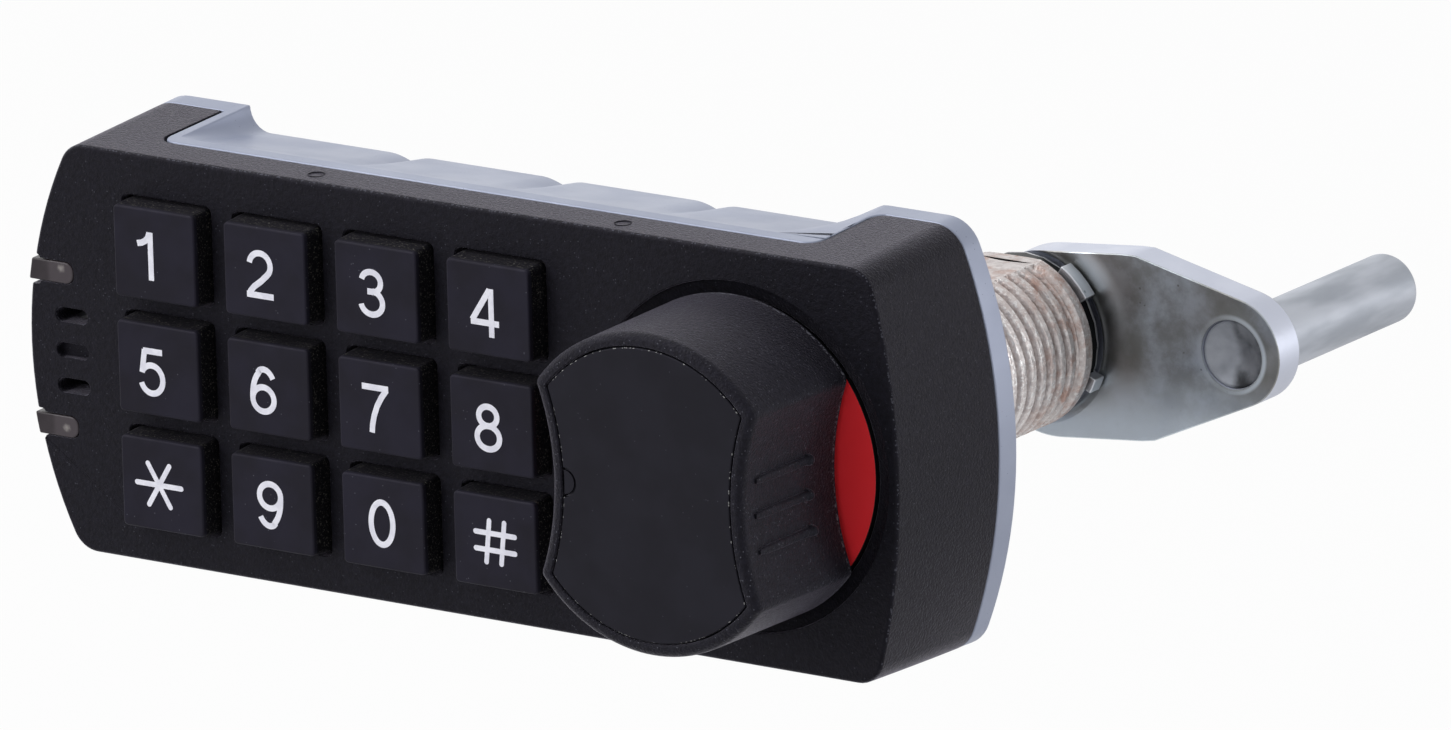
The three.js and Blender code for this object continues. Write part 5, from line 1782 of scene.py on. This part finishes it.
@dataclass
class Knob:
    """Waisted knob with its bare face plate and grip ribs."""

    front: float = -35.6
    back: float = -19.0
    radius: float = 17.2
    waist: float = 11.95
    waist_radius: float = 28.0
    corner: float = 1.2
    least: float = 0.35
    edge: float = 0.95
    edge_steps: int = 8
    cut_edge: float = 0.08
    draft: float = 0.25
    rim: float = 1.35
    lip: float = 0.12
    skirt: float = 0.3
    skirt_in: tuple[float, float] = (0.01, 0.25)
    seam: float = 0.15
    pocket: float = 1.5
    over: float = 1.0
    plate: float = 1.2
    plate_sunk_share: float = 0.4
    plate_rows: Rows = ((0.0, 0.16), (0.05, 0.06), (0.16, 0.0))
    plate_edge: float = 0.05
    wall: float = 2.2
    roof: float = 3.6
    hub: float = 6.0
    square: float = 3.3
    hole_head: float = 3.3
    hole_seat: float = 2.2
    hole: float = 1.8
    pry: float = 1.57
    pry_line: float = 0.3
    pry_deep: float = 0.4
    pry_step: float = 0.12
    rib_count: int = 3
    rib_pitch: float = 3.7
    rib_offset: float = -1.0
    rib_long: float = 9.6
    rib_half: float = 0.62
    rib_proud: float = 0.5
    rib_root: float = 1.0
    rib_steps: int = 12
    rib_start: Rows = ((0.0, 0.06, 0.4), (1.2, 0.45, 0.7))
    rib_middle_share: float = 0.55
    rib_end: Rows = ((1.1, 0.9, 0.8), (0.9, 1.3, 0.95), (0.6, 1.7, 1.0), (0.3, 1.5, 0.95), (0.0, 0.1, 0.6))

    def ring(self, inset: float) -> Ring:
        """Makes the knob's outline: a circle with a hollow waist.

        Args:
            inset: how far the outline is drawn in.

        Returns:
            The ring.
        """
        radius, waist = self.radius - inset, self.waist_radius + inset
        centre = self.waist + self.waist_radius
        corner = max(self.corner - inset, self.least)
        x = ((radius - corner) ** 2 - (waist + corner) ** 2 + centre**2) / (2 * centre)
        z = math.sqrt((radius - corner) ** 2 - x**2)
        outer, inner = math.atan2(z, x), math.atan2(z, centre - x)
        side = [
            *arc(centre, 0, waist, 2 * QUARTER + inner, 2 * QUARTER - inner, 30),
            *arc(x, z, corner, -inner, outer, 8)[1:],
            *arc(0, 0, radius, outer, 2 * QUARTER - outer, 40)[1:],
            *arc(-x, z, corner, 2 * QUARTER - outer, 2 * QUARTER + inner, 8)[1:-1],
        ]
        return side + turn_ring(side, 2 * QUARTER)

    def shell(self) -> Piece:
        """Builds the knob's body, hollow behind and pocketed in front.

        Returns:
            The body.
        """
        front, back = self.front, self.back
        floor, inner = front + self.pocket, self.draft + self.rim
        ceiling = floor + self.roof
        places = [(floor, inner), (front + self.lip, inner), (front, inner - self.lip)]
        places += [(front + run, self.draft + inset) for run, inset in rounding(self.edge, self.edge_steps)]
        places += [(back - self.skirt, self.skirt_in[0]), (back, self.skirt_in[1]),
                   (back, self.wall), (ceiling, self.wall)]
        body = loft("knob_shell", [(y, self.ring(inset)) for y, inset in places])
        combine(body, Operation.JOIN, [rod(self.hub, ceiling - self.over, back, 40)])
        half, seat = self.square, floor + self.hole_seat
        square = rectangle(-half, -half, half, half)
        hole = [(0, floor - self.over), (self.hole_head, floor - self.over), (self.hole_head, seat),
                (self.hole, seat), (self.hole, ceiling + self.over), (0, ceiling + self.over)]
        tools = [prism("socket", square, ceiling, back + self.over), turned("hole", hole, 28)]
        return combine(body, Operation.CUT, tools)

    def rib(self) -> Piece:
        """Builds one grip rib, with a bulge near its end.

        Returns:
            The rib, standing on the Y axis.
        """
        start, long, steps = self.front + self.edge + self.rim, self.rib_long, self.rib_steps
        rows = [*self.rib_start, (long * self.rib_middle_share, 0.8, 0.8),
                *((long - y, proud, half) for y, proud, half in self.rib_end)]
        points = []
        for y, proud, half in rows:
            for i in range(steps + 1):
                angle = lerp(-QUARTER, QUARTER, i / steps)
                points.append((self.rib_proud * proud * math.cos(angle), start + y,
                               self.rib_half * half * math.sin(angle)))
            points += [(-self.rib_root, start + y, side * self.rib_half * half) for side in (1, -1)]
        n = steps + 3
        faces = [(r * n + i, r * n + (i + 1) % n, (r + 1) * n + (i + 1) % n, (r + 1) * n + i)
                 for r in range(len(rows) - 1) for i in range(n)]
        faces += [tuple(range(n)), tuple(reversed(range((len(rows) - 1) * n, len(rows) * n)))]
        return new_piece("grip_ribs", points, faces)

    def ribs(self) -> Piece:
        """Spreads one rib over both waists.

        Returns:
            All the ribs.
        """
        rib, kit = self.rib(), Socketed("rib rows")
        nodes = kit.nodes
        count = kit.value("Count", "Int", self.rib_count)
        pitch, offset, waist, bend = kit.lengths({
            "Pitch": self.rib_pitch, "Offset": self.rib_offset,
            "Waist": self.waist, "Waist Radius": self.waist_radius})
        number = nodes.get("GeometryNodeInputIndex")
        middle = (count - 1.0) * 0.5
        height = offset + (number - middle) * pitch
        surface = waist + bend - nodes.math("SQRT", bend * bend - height * height)
        row = kit.instances(count, nodes.get("ShaderNodeCombineXYZ", {0: surface, 2: height}))
        other = nodes.get("GeometryNodeTransform", {"Geometry": row, "Rotation": (0, math.pi, 0)})
        both = nodes.get("GeometryNodeJoinGeometry", {0: [row, other]})
        return kit.apply(rib, both, KNOB.material())

    def face(self) -> Piece:
        """Builds the bare face plate with its half-round pry notch.

        Returns:
            The plate.
        """
        inset, ahead = self.draft + self.rim + self.seam, self.front + self.seam * self.plate_sunk_share
        sections = [(ahead + y, self.ring(inset + shrink)) for y, shrink in self.plate_rows]
        plate = loft("face_plate", [*sections, (self.front + self.plate, self.ring(inset))])
        side = -(self.waist - inset)
        line = rod(self.pry, self.front - self.over, ahead + self.pry_deep, 40, side)
        core = rod(self.pry - self.pry_line, ahead + self.pry_step, self.front + 2 * self.over, 40, side)
        combine(line, Operation.CUT, [core])
        return soften(combine(plate, Operation.CUT, [line]), self.plate_edge, 2, 50)

    def build(self) -> None:
        """Builds, dresses and places the knob's pieces."""
        place(KNOB.apply(soften(self.shell(), self.cut_edge, 2, 55), 35), DRIVE, "knob_plastic", "knob")
        place(smooth(self.ribs(), 60), DRIVE, "knob_plastic")
        place(FACE.apply(self.face(), 35), DRIVE, "face_plastic", "knob_face_plate")


@dataclass
class Cylinder:
    """Threaded cylinder that goes through the door, with its flange, neck and end collar."""

    crest: float = 9.5
    deep: float = 0.8
    dent: float = 0.06
    pitch: float = 1.8
    start: float = -0.4
    stop: float = 30.2
    end: float = 31.8
    over: float = 1.0
    beyond: float = 20.0
    flat: float = 8.8
    flat_from: float = 0.01
    bore: float = 4.6
    skin: float = 1.2
    flange: float = 11.5
    flange_front: float = -4.9
    flange_back: float = -3.1
    collar: float = 1.8
    collar_slope: float = 0.7
    collar_edge: float = 0.25
    collar_near: float = 0.05
    collar_far: float = 0.2
    chamfer: float = 0.5
    blunt: float = 0.15
    hole: float = 1.1
    hole_deep: float = 2.8
    hole_off: float = 4.455
    flank: tuple[float, float] = (0.08, 0.6)
    run_out: float = 1.4
    hem: float = 0.0005
    rows: int = 290
    columns: int = 121
    weld: float = 1e-6

    def core(self) -> Piece:
        """Builds the flange, the neck, the core under the thread and the end collar.

        Returns:
            The core, with its bore and its flats.
        """
        root, collar, end = self.crest - self.deep - self.dent, self.end - self.collar, self.end
        profile = [(self.bore, self.flange_front), (self.flange, self.flange_front),
                   (self.flange, self.flange_back), (root, self.flange_back),
                   (root, collar - self.collar_slope),
                   (self.crest - self.collar_edge, collar - self.collar_near),
                   (self.crest, collar + self.collar_far), (self.crest, end - self.chamfer),
                   (self.crest - self.blunt, end - self.blunt), (self.crest - self.chamfer, end),
                   (self.bore, end)]
        core = turned("cylinder_core", profile, 96)
        wide, flat = self.beyond, self.flat
        for ring in (rectangle(-wide, flat, wide, wide), rectangle(-wide, -wide, wide, -flat)):
            tool = prism("flat", ring, self.flange_back + self.flat_from, end + 2 * self.over)
            combine(core, Operation.CUT, [tool])
        spot = -self.hole_off
        hole = rod(self.hole, end - self.hole_deep, end + self.over, 20, spot, spot)
        return combine(core, Operation.CUT, [hole])

    def ridge(self, nodes: Nodes, along: Value, around: Value, turns: Value) -> Value:
        """Winds the thread's ridge over its unrolled surface.

        Args:
            nodes: the tree.
            along: the share of the thread's length.
            around: the share of a turn.
            turns: how many turns there are.

        Returns:
            0 in the valleys and 1 on the crests, with less at both ends.
        """
        climb = along * turns
        phase = nodes.math("FRACT", climb - around + 2.0)
        ridge = nodes.ramp(1.0 - abs(phase * 2.0 - 1.0), *self.flank)
        first = nodes.math("MULTIPLY", climb, self.run_out, clamp=True)
        last = nodes.math("MULTIPLY", turns - climb, self.run_out, clamp=True)
        return ridge * nodes.math("MINIMUM", first, last)

    def sheet(self, kit: Socketed) -> tuple[Value, Value, Value]:
        """Makes the flat sheet that is wound into the thread.

        Args:
            kit: the thread's tree.

        Returns:
            The sheet, and the shares of a turn and of the thread's length over it.
        """
        rows = kit.value("Rows", "Int", self.rows)
        columns = kit.value("Columns", "Int", self.columns)
        values = {"Size X": 1.0, "Size Y": 1.0, "Vertices X": columns, "Vertices Y": rows}
        axes = kit.nodes.axes(kit.nodes.get("GeometryNodeInputPosition"))
        around, along = (axis + 0.5 for axis in axes[:2])
        return kit.nodes.get("GeometryNodeMeshGrid", values), around, along

    def thread(self) -> Piece:
        """Builds the helical thread by its own rule and closes it inside.

        Returns:
            The thread.
        """
        seed = [(0, 0, 0), (0, self.pitch, 0), (0, 0, self.pitch)]
        shell = new_piece("cylinder_thread", seed, [(0, 1, 2)])
        kit = Socketed("helical thread")
        nodes = kit.nodes
        crest, deep, pitch, start, long, flat, bore = kit.lengths({
            "Crest": self.crest, "Depth": self.deep, "Pitch": self.pitch, "Start": self.start,
            "Length": self.stop - self.start, "Flat": self.flat, "Inner Radius": self.bore + self.skin})
        sheet, around, along = self.sheet(kit)
        ridge = self.ridge(nodes, along, around, long / pitch)
        dents = nodes.noise(nodes.get("GeometryNodeInputPosition"), 60.0) - 0.5
        radius = crest - deep + ridge * deep
        radius = nodes.math("MINIMUM", radius + dents * (self.dent * MM), crest)
        ends = nodes.math("MINIMUM", along, 1.0 - along)
        inside = ends < self.hem
        outside = 1.0 - inside
        radius = radius * outside + bore * inside
        angle = around * (4 * QUARTER)
        up = nodes.math("COSINE", angle)
        reach = abs(crest * up)
        milled = (reach > flat) * outside
        radius = nodes.math("MINIMUM", radius + milled * deep, crest)
        height = nodes.math("MINIMUM", radius * up, flat)
        height = nodes.math("MAXIMUM", height, flat * -1.0)
        across = radius * nodes.math("SINE", angle)
        spot = nodes.get("ShaderNodeCombineXYZ", {0: across, 1: start + along * long, 2: height})
        wound = nodes.get("GeometryNodeSetPosition", {"Geometry": sheet, "Position": spot})
        welded = {"Geometry": wound, "Distance": self.weld}
        kit.apply(shell, nodes.get("GeometryNodeMergeByDistance", welded), THREAD.material())
        with edited(shell) as work:
            bmesh.ops.bridge_loops(work, edges=[e for e in work.edges if e.is_boundary])
            bmesh.ops.recalc_face_normals(work, faces=work.faces)
        return shell

    def build(self) -> None:
        """Builds, dresses and places the cylinder's two pieces."""
        place(THREAD.apply(self.core(), 35), HOUSING, "nickel", "threaded_cylinder")
        place(smooth(self.thread(), 50), HOUSING, "nickel", "threaded_cylinder")


@dataclass
class Cam:
    """Cam plate with its riveted pin, and what holds it on the spindle."""

    front: float = 34.2
    thick: float = 3.9
    half: float = 9.95
    drop: float = 1.2
    shoulder: float = 13.7
    blunt: float = 1.2
    blunt_share: float = 0.3
    blunt_drop: float = 0.12
    reach: float = 24.8
    tip: float = 5.9
    end_centre: float = 2.5
    lean: float = 5.5
    edge: float = 0.14
    dish: float = 9.6
    dish_inner: float = 8.8
    dish_deep: float = 0.5
    dish_rows: Rows = ((0.6, -0.07), (0.2, 0.01), (-0.3, 0.07), (-0.65, 0.2), (-0.85, 0.45), (-0.95, 0.8))
    rivet_dish: float = 3.7
    rivet_deep: float = 1.0
    rivet_rows: Rows = ((0.4, -0.4), (0.05, -0.02), (-0.05, 0.2), (-0.1, 0.8))
    rivet: float = 2.9
    rivet_gap: float = 0.08
    head_pit: float = 0.9
    head_floor: tuple[float, float] = (0.3, 0.86)
    head_rows: Rows = ((0.5, 0.1), (0.8, -0.4), (0.9, -0.6), (0.95, -0.68), (0.985, -0.66),
                       (1.0, -0.55), (1.0, -0.25))
    head_under: float = 0.05
    gap: float = 0.3
    over: float = 2.0
    square: float = 3.3
    pin_radius: float = 3.7
    pin_long: float = 26.1
    pin_drop: float = 0.25
    collar: float = 4.9
    collar_long: float = 2.3
    collar_edge: tuple[float, float] = (0.15, 0.12)
    collar_taper: float = 0.1
    collar_shares: Rows = ((0.45, 0.42), (0.75, 0.68))
    taper_shares: tuple[float, float] = (0.22, 0.9)
    chamfer: float = 0.9
    chamfer_steps: int = 6
    small_edge: float = 0.15

    def outline(self) -> Ring:
        """Makes the cam's outline, leant as it hangs.

        Returns:
            The ring.
        """
        reach = self.reach - self.shoulder
        away = math.hypot(reach, self.half)
        tangent = math.atan2(self.half, reach) - math.asin(self.tip / away)
        tip_from = QUARTER - tangent
        u, v = math.cos(tangent), math.sin(tangent)
        bend = [
            (self.shoulder + self.blunt * u, self.half - self.blunt * v),
            (self.shoulder + self.blunt * self.blunt_share, self.half - self.blunt_drop),
            (self.shoulder - self.blunt, self.half),
        ]
        ring = [
            *arc(self.reach, 0, self.tip, -tip_from, tip_from, 28),
            *bend,
            *arc(self.end_centre, 0, self.half, QUARTER, 3 * QUARTER, 48),
            *reversed([(x, -z) for x, z in bend]),
        ]
        return turn_ring([(x, z - self.drop) for x, z in ring], math.radians(self.lean))

    def tip_spot(self) -> tuple[float, float]:
        """Returns where the pin stands."""
        return turn_ring([(self.reach, -self.drop - self.pin_drop)], math.radians(self.lean))[0]

    def plate(self) -> Piece:
        """Builds the cam plate with its dishes and holes.

        Returns:
            The plate.
        """
        x, z = self.tip_spot()
        front, back = self.front, self.front + self.thick
        beyond = back + self.over
        plate = prism("cam_arm", self.outline(), front, back)
        soften(plate, self.edge, 3, 40)
        rows = [(self.dish + grow, front + share * self.dish_deep) for grow, share in self.dish_rows]
        rows.append((self.dish_inner, front + self.dish_deep))
        dish = turned("dish", [(0, rows[0][1]), *rows, (0, rows[-1][1])], 80)
        bore = self.rivet + self.gap
        rows = [(self.rivet_dish + grow, front + deep) for grow, deep in self.rivet_rows]
        rows += [(bore, front + self.rivet_deep), (bore, beyond)]
        mouth = turned("mouth", [(0, rows[0][1]), *rows, (0, beyond)], 56, x, z)
        half = self.square
        ring = turn_ring(rectangle(-half, -half, half, half), math.radians(self.lean))
        hole = prism("hole", ring, front - self.over, beyond)
        return combine(plate, Operation.CUT, [dish, mouth, hole])

    def pin(self) -> Piece:
        """Builds the riveted pin with its collar and rounded end.

        Returns:
            The pin.
        """
        head, back = self.front + self.rivet_deep, self.front + self.thick
        foot, end = back + self.gap, back + self.pin_long
        rim, pit = self.rivet_dish - self.rivet_gap, self.head_floor
        collar, pin, long = self.collar, self.pin_radius, self.collar_long
        near, far = self.taper_shares
        profile = [(0, head + self.head_pit), (pit[0], head + pit[1])]
        profile += [(rim * share, head + rise) for share, rise in self.head_rows]
        profile += [(self.rivet, head - self.head_under), (self.rivet, foot),
                    (collar - self.collar_edge[0], foot), (collar, foot + self.collar_edge[1]),
                    (collar - self.collar_taper, foot + long * near)]
        profile += [(lerp(collar, pin, a), foot + long * b) for a, b in self.collar_shares]
        profile += [(pin + self.collar_taper, foot + long * far), (pin, foot + long)]
        profile += [(pin - run, end - inset) for run, inset in rounding(self.chamfer, self.chamfer_steps)]
        return turned("cam_stud", [*profile, (0, end)], 64, *self.tip_spot())

    def build(self) -> None:
        """Builds, dresses and places the cam, its pin and its fastening."""
        place(ZINC.apply(self.plate(), 38), DRIVE, "zinc", "cam_plate")
        place(PIN.apply(self.pin(), 42), DRIVE, "steel", "cam_pin")
        for node, finish, slot in (("stop_washer", WASHER, "zinc"), ("cam_washer", ZINC, "zinc"),
                                   ("cam_screw", STEEL, "steel")):
            piece = soften(copy_of(node, f"{node}_dressed"), self.small_edge, 2, 40)
            place(finish.apply(piece, 35), DRIVE, slot, node)


@dataclass
class Fasteners:
    """The four cover screws, all made from one."""

    plan: ScrewPlan
    pitch: float = 0.9
    root_share: float = 0.78
    point_share: float = 0.6
    point: float = 0.5
    crest_share: float = 0.4
    valley_share: float = 0.8
    head_rows: Rows = ((0.0, 0.35), (0.12, 0.1), (0.4, 0.0))
    recess_share: float = 0.6
    recess_half: float = 0.45
    recess_deep_share: float = 0.55
    over: float = 1.0

    def screw(self) -> Piece:
        """Builds one screw at the origin, with its cross recess.

        Returns:
            The screw.
        """
        plan, pitch = self.plan, self.pitch
        top, neck = -plan.sunk, -plan.sunk - plan.head_long
        foot, root = neck - plan.long, plan.shank * self.root_share
        profile = [(0, foot), (plan.shank * self.point_share, foot)]
        for i in range(int((plan.long - 2 * self.point) / pitch)):
            y = foot + self.point + i * pitch
            profile += [(root, y), (plan.shank, y + pitch * self.crest_share),
                        (root, y + pitch * self.valley_share)]
        profile += [(plan.shank, neck), (plan.head, neck)]
        profile += [(plan.head - inset, top - down) for inset, down in self.head_rows]
        screw = turned("cover_screw_set", [*profile, (0, top)], 32)
        reach, half = plan.head * self.recess_share, self.recess_half
        floor = top - plan.head_long * self.recess_deep_share
        bars = [prism("bar", rectangle(-a, -b, a, b), floor, top + self.over)
                for a, b in ((reach, half), (half, reach))]
        return combine(screw, Operation.CUT, bars)

    def build(self) -> None:
        """Builds, dresses and places the set of four."""
        plan = self.plan
        kit = Socketed("four screws")
        nodes = kit.nodes
        left = kit.value("Left", "Vector", (-plan.left * MM, 0.0, plan.left_rise * MM))
        right = kit.value("Right", "Vector", (plan.right * MM, 0.0, plan.right_rise * MM))
        number = nodes.get("GeometryNodeInputIndex")
        side = number > 1.5
        upright = 1.0 - nodes.math("MODULO", number, 2.0) * 2.0
        spot = nodes.get("ShaderNodeMix", {0: side, 4: left, 5: right}, 1, data_type="VECTOR")
        flip = nodes.get("ShaderNodeCombineXYZ", {0: 1.0, 1: 1.0, 2: upright})
        at = nodes.get("ShaderNodeVectorMath", {0: spot, 1: flip}, operation="MULTIPLY")
        screws = kit.apply(self.screw(), kit.instances(4, at), STEEL.material())
        corners = ("upper_left", "lower_left", "upper_right", "lower_right")
        place(smooth(screws, 35), HOUSING, "steel", *(f"cover_screw_{corner}" for corner in corners))


@dataclass
class Interior:
    """What stands inside the cover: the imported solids, each with its own finish."""

    finishes: dict[str, Finish] = field(default_factory=lambda: {
        "keypad_mat": SILICONE, "circuit_board": BOARD, "sounder": SOUNDER, "battery_tray": GREY,
        "coin_cell_left": STEEL, "coin_cell_right": STEEL, "battery_contact_left": BRASS,
        "battery_contact_right": BRASS, "bearing_bridge": GREY, "stop_pin": STEEL, "spindle": STEEL,
        "lock_rotor": ZINC, "solenoid": STEEL, "plunger": STEEL, "knob_screw": STEEL})

    def build(self) -> None:
        """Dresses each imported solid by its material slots."""
        for node, finish in self.finishes.items():
            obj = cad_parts[node]
            if not obj.material_slots:
                obj.data.materials.append(finish.material())
            for slot in obj.material_slots:
                slot.material = finish.material()
            LOG.info("%s dressed", node)


@dataclass
class Studio:
    """White studio with a pale floor, soft lamps and the camera."""

    azimuth: float = 34.713
    elevation: float = 15.948
    roll: float = -1.466
    distance: float = 2083.2
    lens: float = 506.0
    sensor: float = 36.0
    clip: tuple[float, float] = (0.05, 50.0)
    aim: tuple[float, float] = (-12.17, 4.73)
    floor: float = -0.13
    floor_half: float = 3000.0
    floor_pale: Colour = (0.66, 0.66, 0.67, 1)
    floor_white: float = 0.95
    sky_level: float = 0.42
    lamps_aim: tuple[float, ...] = (-0.03, 0, 0)
    lamps: dict[str, tuple] = field(default_factory=lambda: {
        "top_softbox": ((-0.7, -0.35, 1.0), 0.9, 9.5),
        "front_softbox": ((-0.9, -1.3, 0.45), 0.8, 7.6),
        "right_softbox": ((1.2, 0.7, 0.14), 0.5, 5.0),
        "rear_softbox": ((-0.9, 1.2, 0.55), 0.8, 0.8)})

    def camera(self) -> None:
        """Stands the camera ahead of the lock, to its right and a little above it."""
        az, el, roll = (math.radians(a) for a in (self.azimuth, self.elevation, self.roll))
        ahead = Vector((-math.sin(az) * math.cos(el), math.cos(az) * math.cos(el), -math.sin(el)))
        right = Vector((math.cos(az), math.sin(az), 0))
        up = right.cross(ahead)
        right, up = (right * math.cos(roll) + up * math.sin(roll),
                     up * math.cos(roll) - right * math.sin(roll))
        spot = -ahead * self.distance * MM
        target = (right * self.aim[0] + up * self.aim[1]) * MM
        ahead = (target - spot).normalized()
        right = ahead.cross(up).normalized()
        turn = Matrix((right, right.cross(ahead), -ahead)).transposed().to_4x4()
        data = bpy.data.cameras.new("camera")
        data.lens, data.sensor_width = self.lens, self.sensor
        data.clip_start, data.clip_end = self.clip
        camera = linked("camera", data)
        camera.matrix_world = Matrix.Translation(spot) @ turn
        bpy.context.scene.camera = camera

    def seen(self, nodes: Nodes) -> Value:
        """Tells the rays that see from those that only light.

        Args:
            nodes: the tree.

        Returns:
            1 for rays from the camera, from gloss and through glass.
        """
        path = nodes.add("ShaderNodeLightPath")
        rays = ("Is Camera Ray", "Is Glossy Ray", "Is Transmission Ray")
        first, second, third = (Value(nodes, path.outputs[name]) for name in rays)
        return nodes.math("MAXIMUM", nodes.math("MAXIMUM", first, second), third)

    def sky(self) -> None:
        """Makes the world white to the eye and softly lit."""
        world = bpy.data.worlds.new("studio")
        bpy.context.scene.world = world
        nodes = Nodes(emptied(world))
        soft, white = (nodes.get("ShaderNodeBackground", {0: WHITE, 1: level})
                       for level in (self.sky_level, 1.0))
        shade = nodes.get("ShaderNodeMixShader", {0: self.seen(nodes), 1: soft, 2: white})
        nodes.add("ShaderNodeOutputWorld", {0: shade})

    def ground(self) -> None:
        """Lays the pale floor below the lock."""
        half, level = self.floor_half, self.floor / MM
        corners = [(x, y, level) for x, y in rectangle(-half, -half, half, half)]
        floor = new_piece("studio_floor", corners, [(0, 1, 2, 3)])
        material = bpy.data.materials.new("studio_floor")
        nodes = Nodes(emptied(material))
        pale = nodes.get("ShaderNodeBsdfDiffuse", {0: self.floor_pale})
        white = nodes.get("ShaderNodeEmission", {0: WHITE, 1: 1.0})
        share = self.seen(nodes) * self.floor_white
        shade = nodes.get("ShaderNodeMixShader", {0: share, 1: pale, 2: white})
        nodes.add("ShaderNodeOutputMaterial", {0: shade})
        dress(floor, material)

    def lamp(self, name: str, spot: Sequence[float], size: float, power: float) -> None:
        """Stands a soft lamp that looks at the lock.

        Args:
            name: the lamp's name.
            spot: where it stands, in metres.
            size: its side, in metres.
            power: its power, in watts.
        """
        data = bpy.data.lights.new(name, "AREA")
        data.size, data.energy = size, power
        obj = linked(name, data)
        obj.location = spot
        toward = Vector(self.lamps_aim) - Vector(spot)
        obj.rotation_euler = toward.to_track_quat("-Z", "Y").to_euler()

    def build(self) -> None:
        """Sets the stage."""
        bpy.context.scene.view_settings.view_transform = "Standard"
        self.camera()
        self.sky()
        self.ground()
        for name, (spot, size, power) in self.lamps.items():
            self.lamp(name, spot, size, power)


def main() -> None:
    """Builds the whole lock and its stage, in order."""
    logging.basicConfig(level=logging.INFO, format="%(name)s: %(message)s")
    outline, notch, screws, grid, windows = Outline(), Notch(), ScrewPlan(), KeyGrid(), WindowPlan()
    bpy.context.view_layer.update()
    Studio().build()
    Cover(outline, notch, screws, grid, windows).build()
    Base(outline, notch, screws).build()
    Keypad(outline, grid).build()
    Indicators(outline, windows).build()
    Knob().build()
    Cylinder().build()
    Cam().build()
    Fasteners(screws).build()
    Interior().build()


if __name__ == "__main__":
    main()
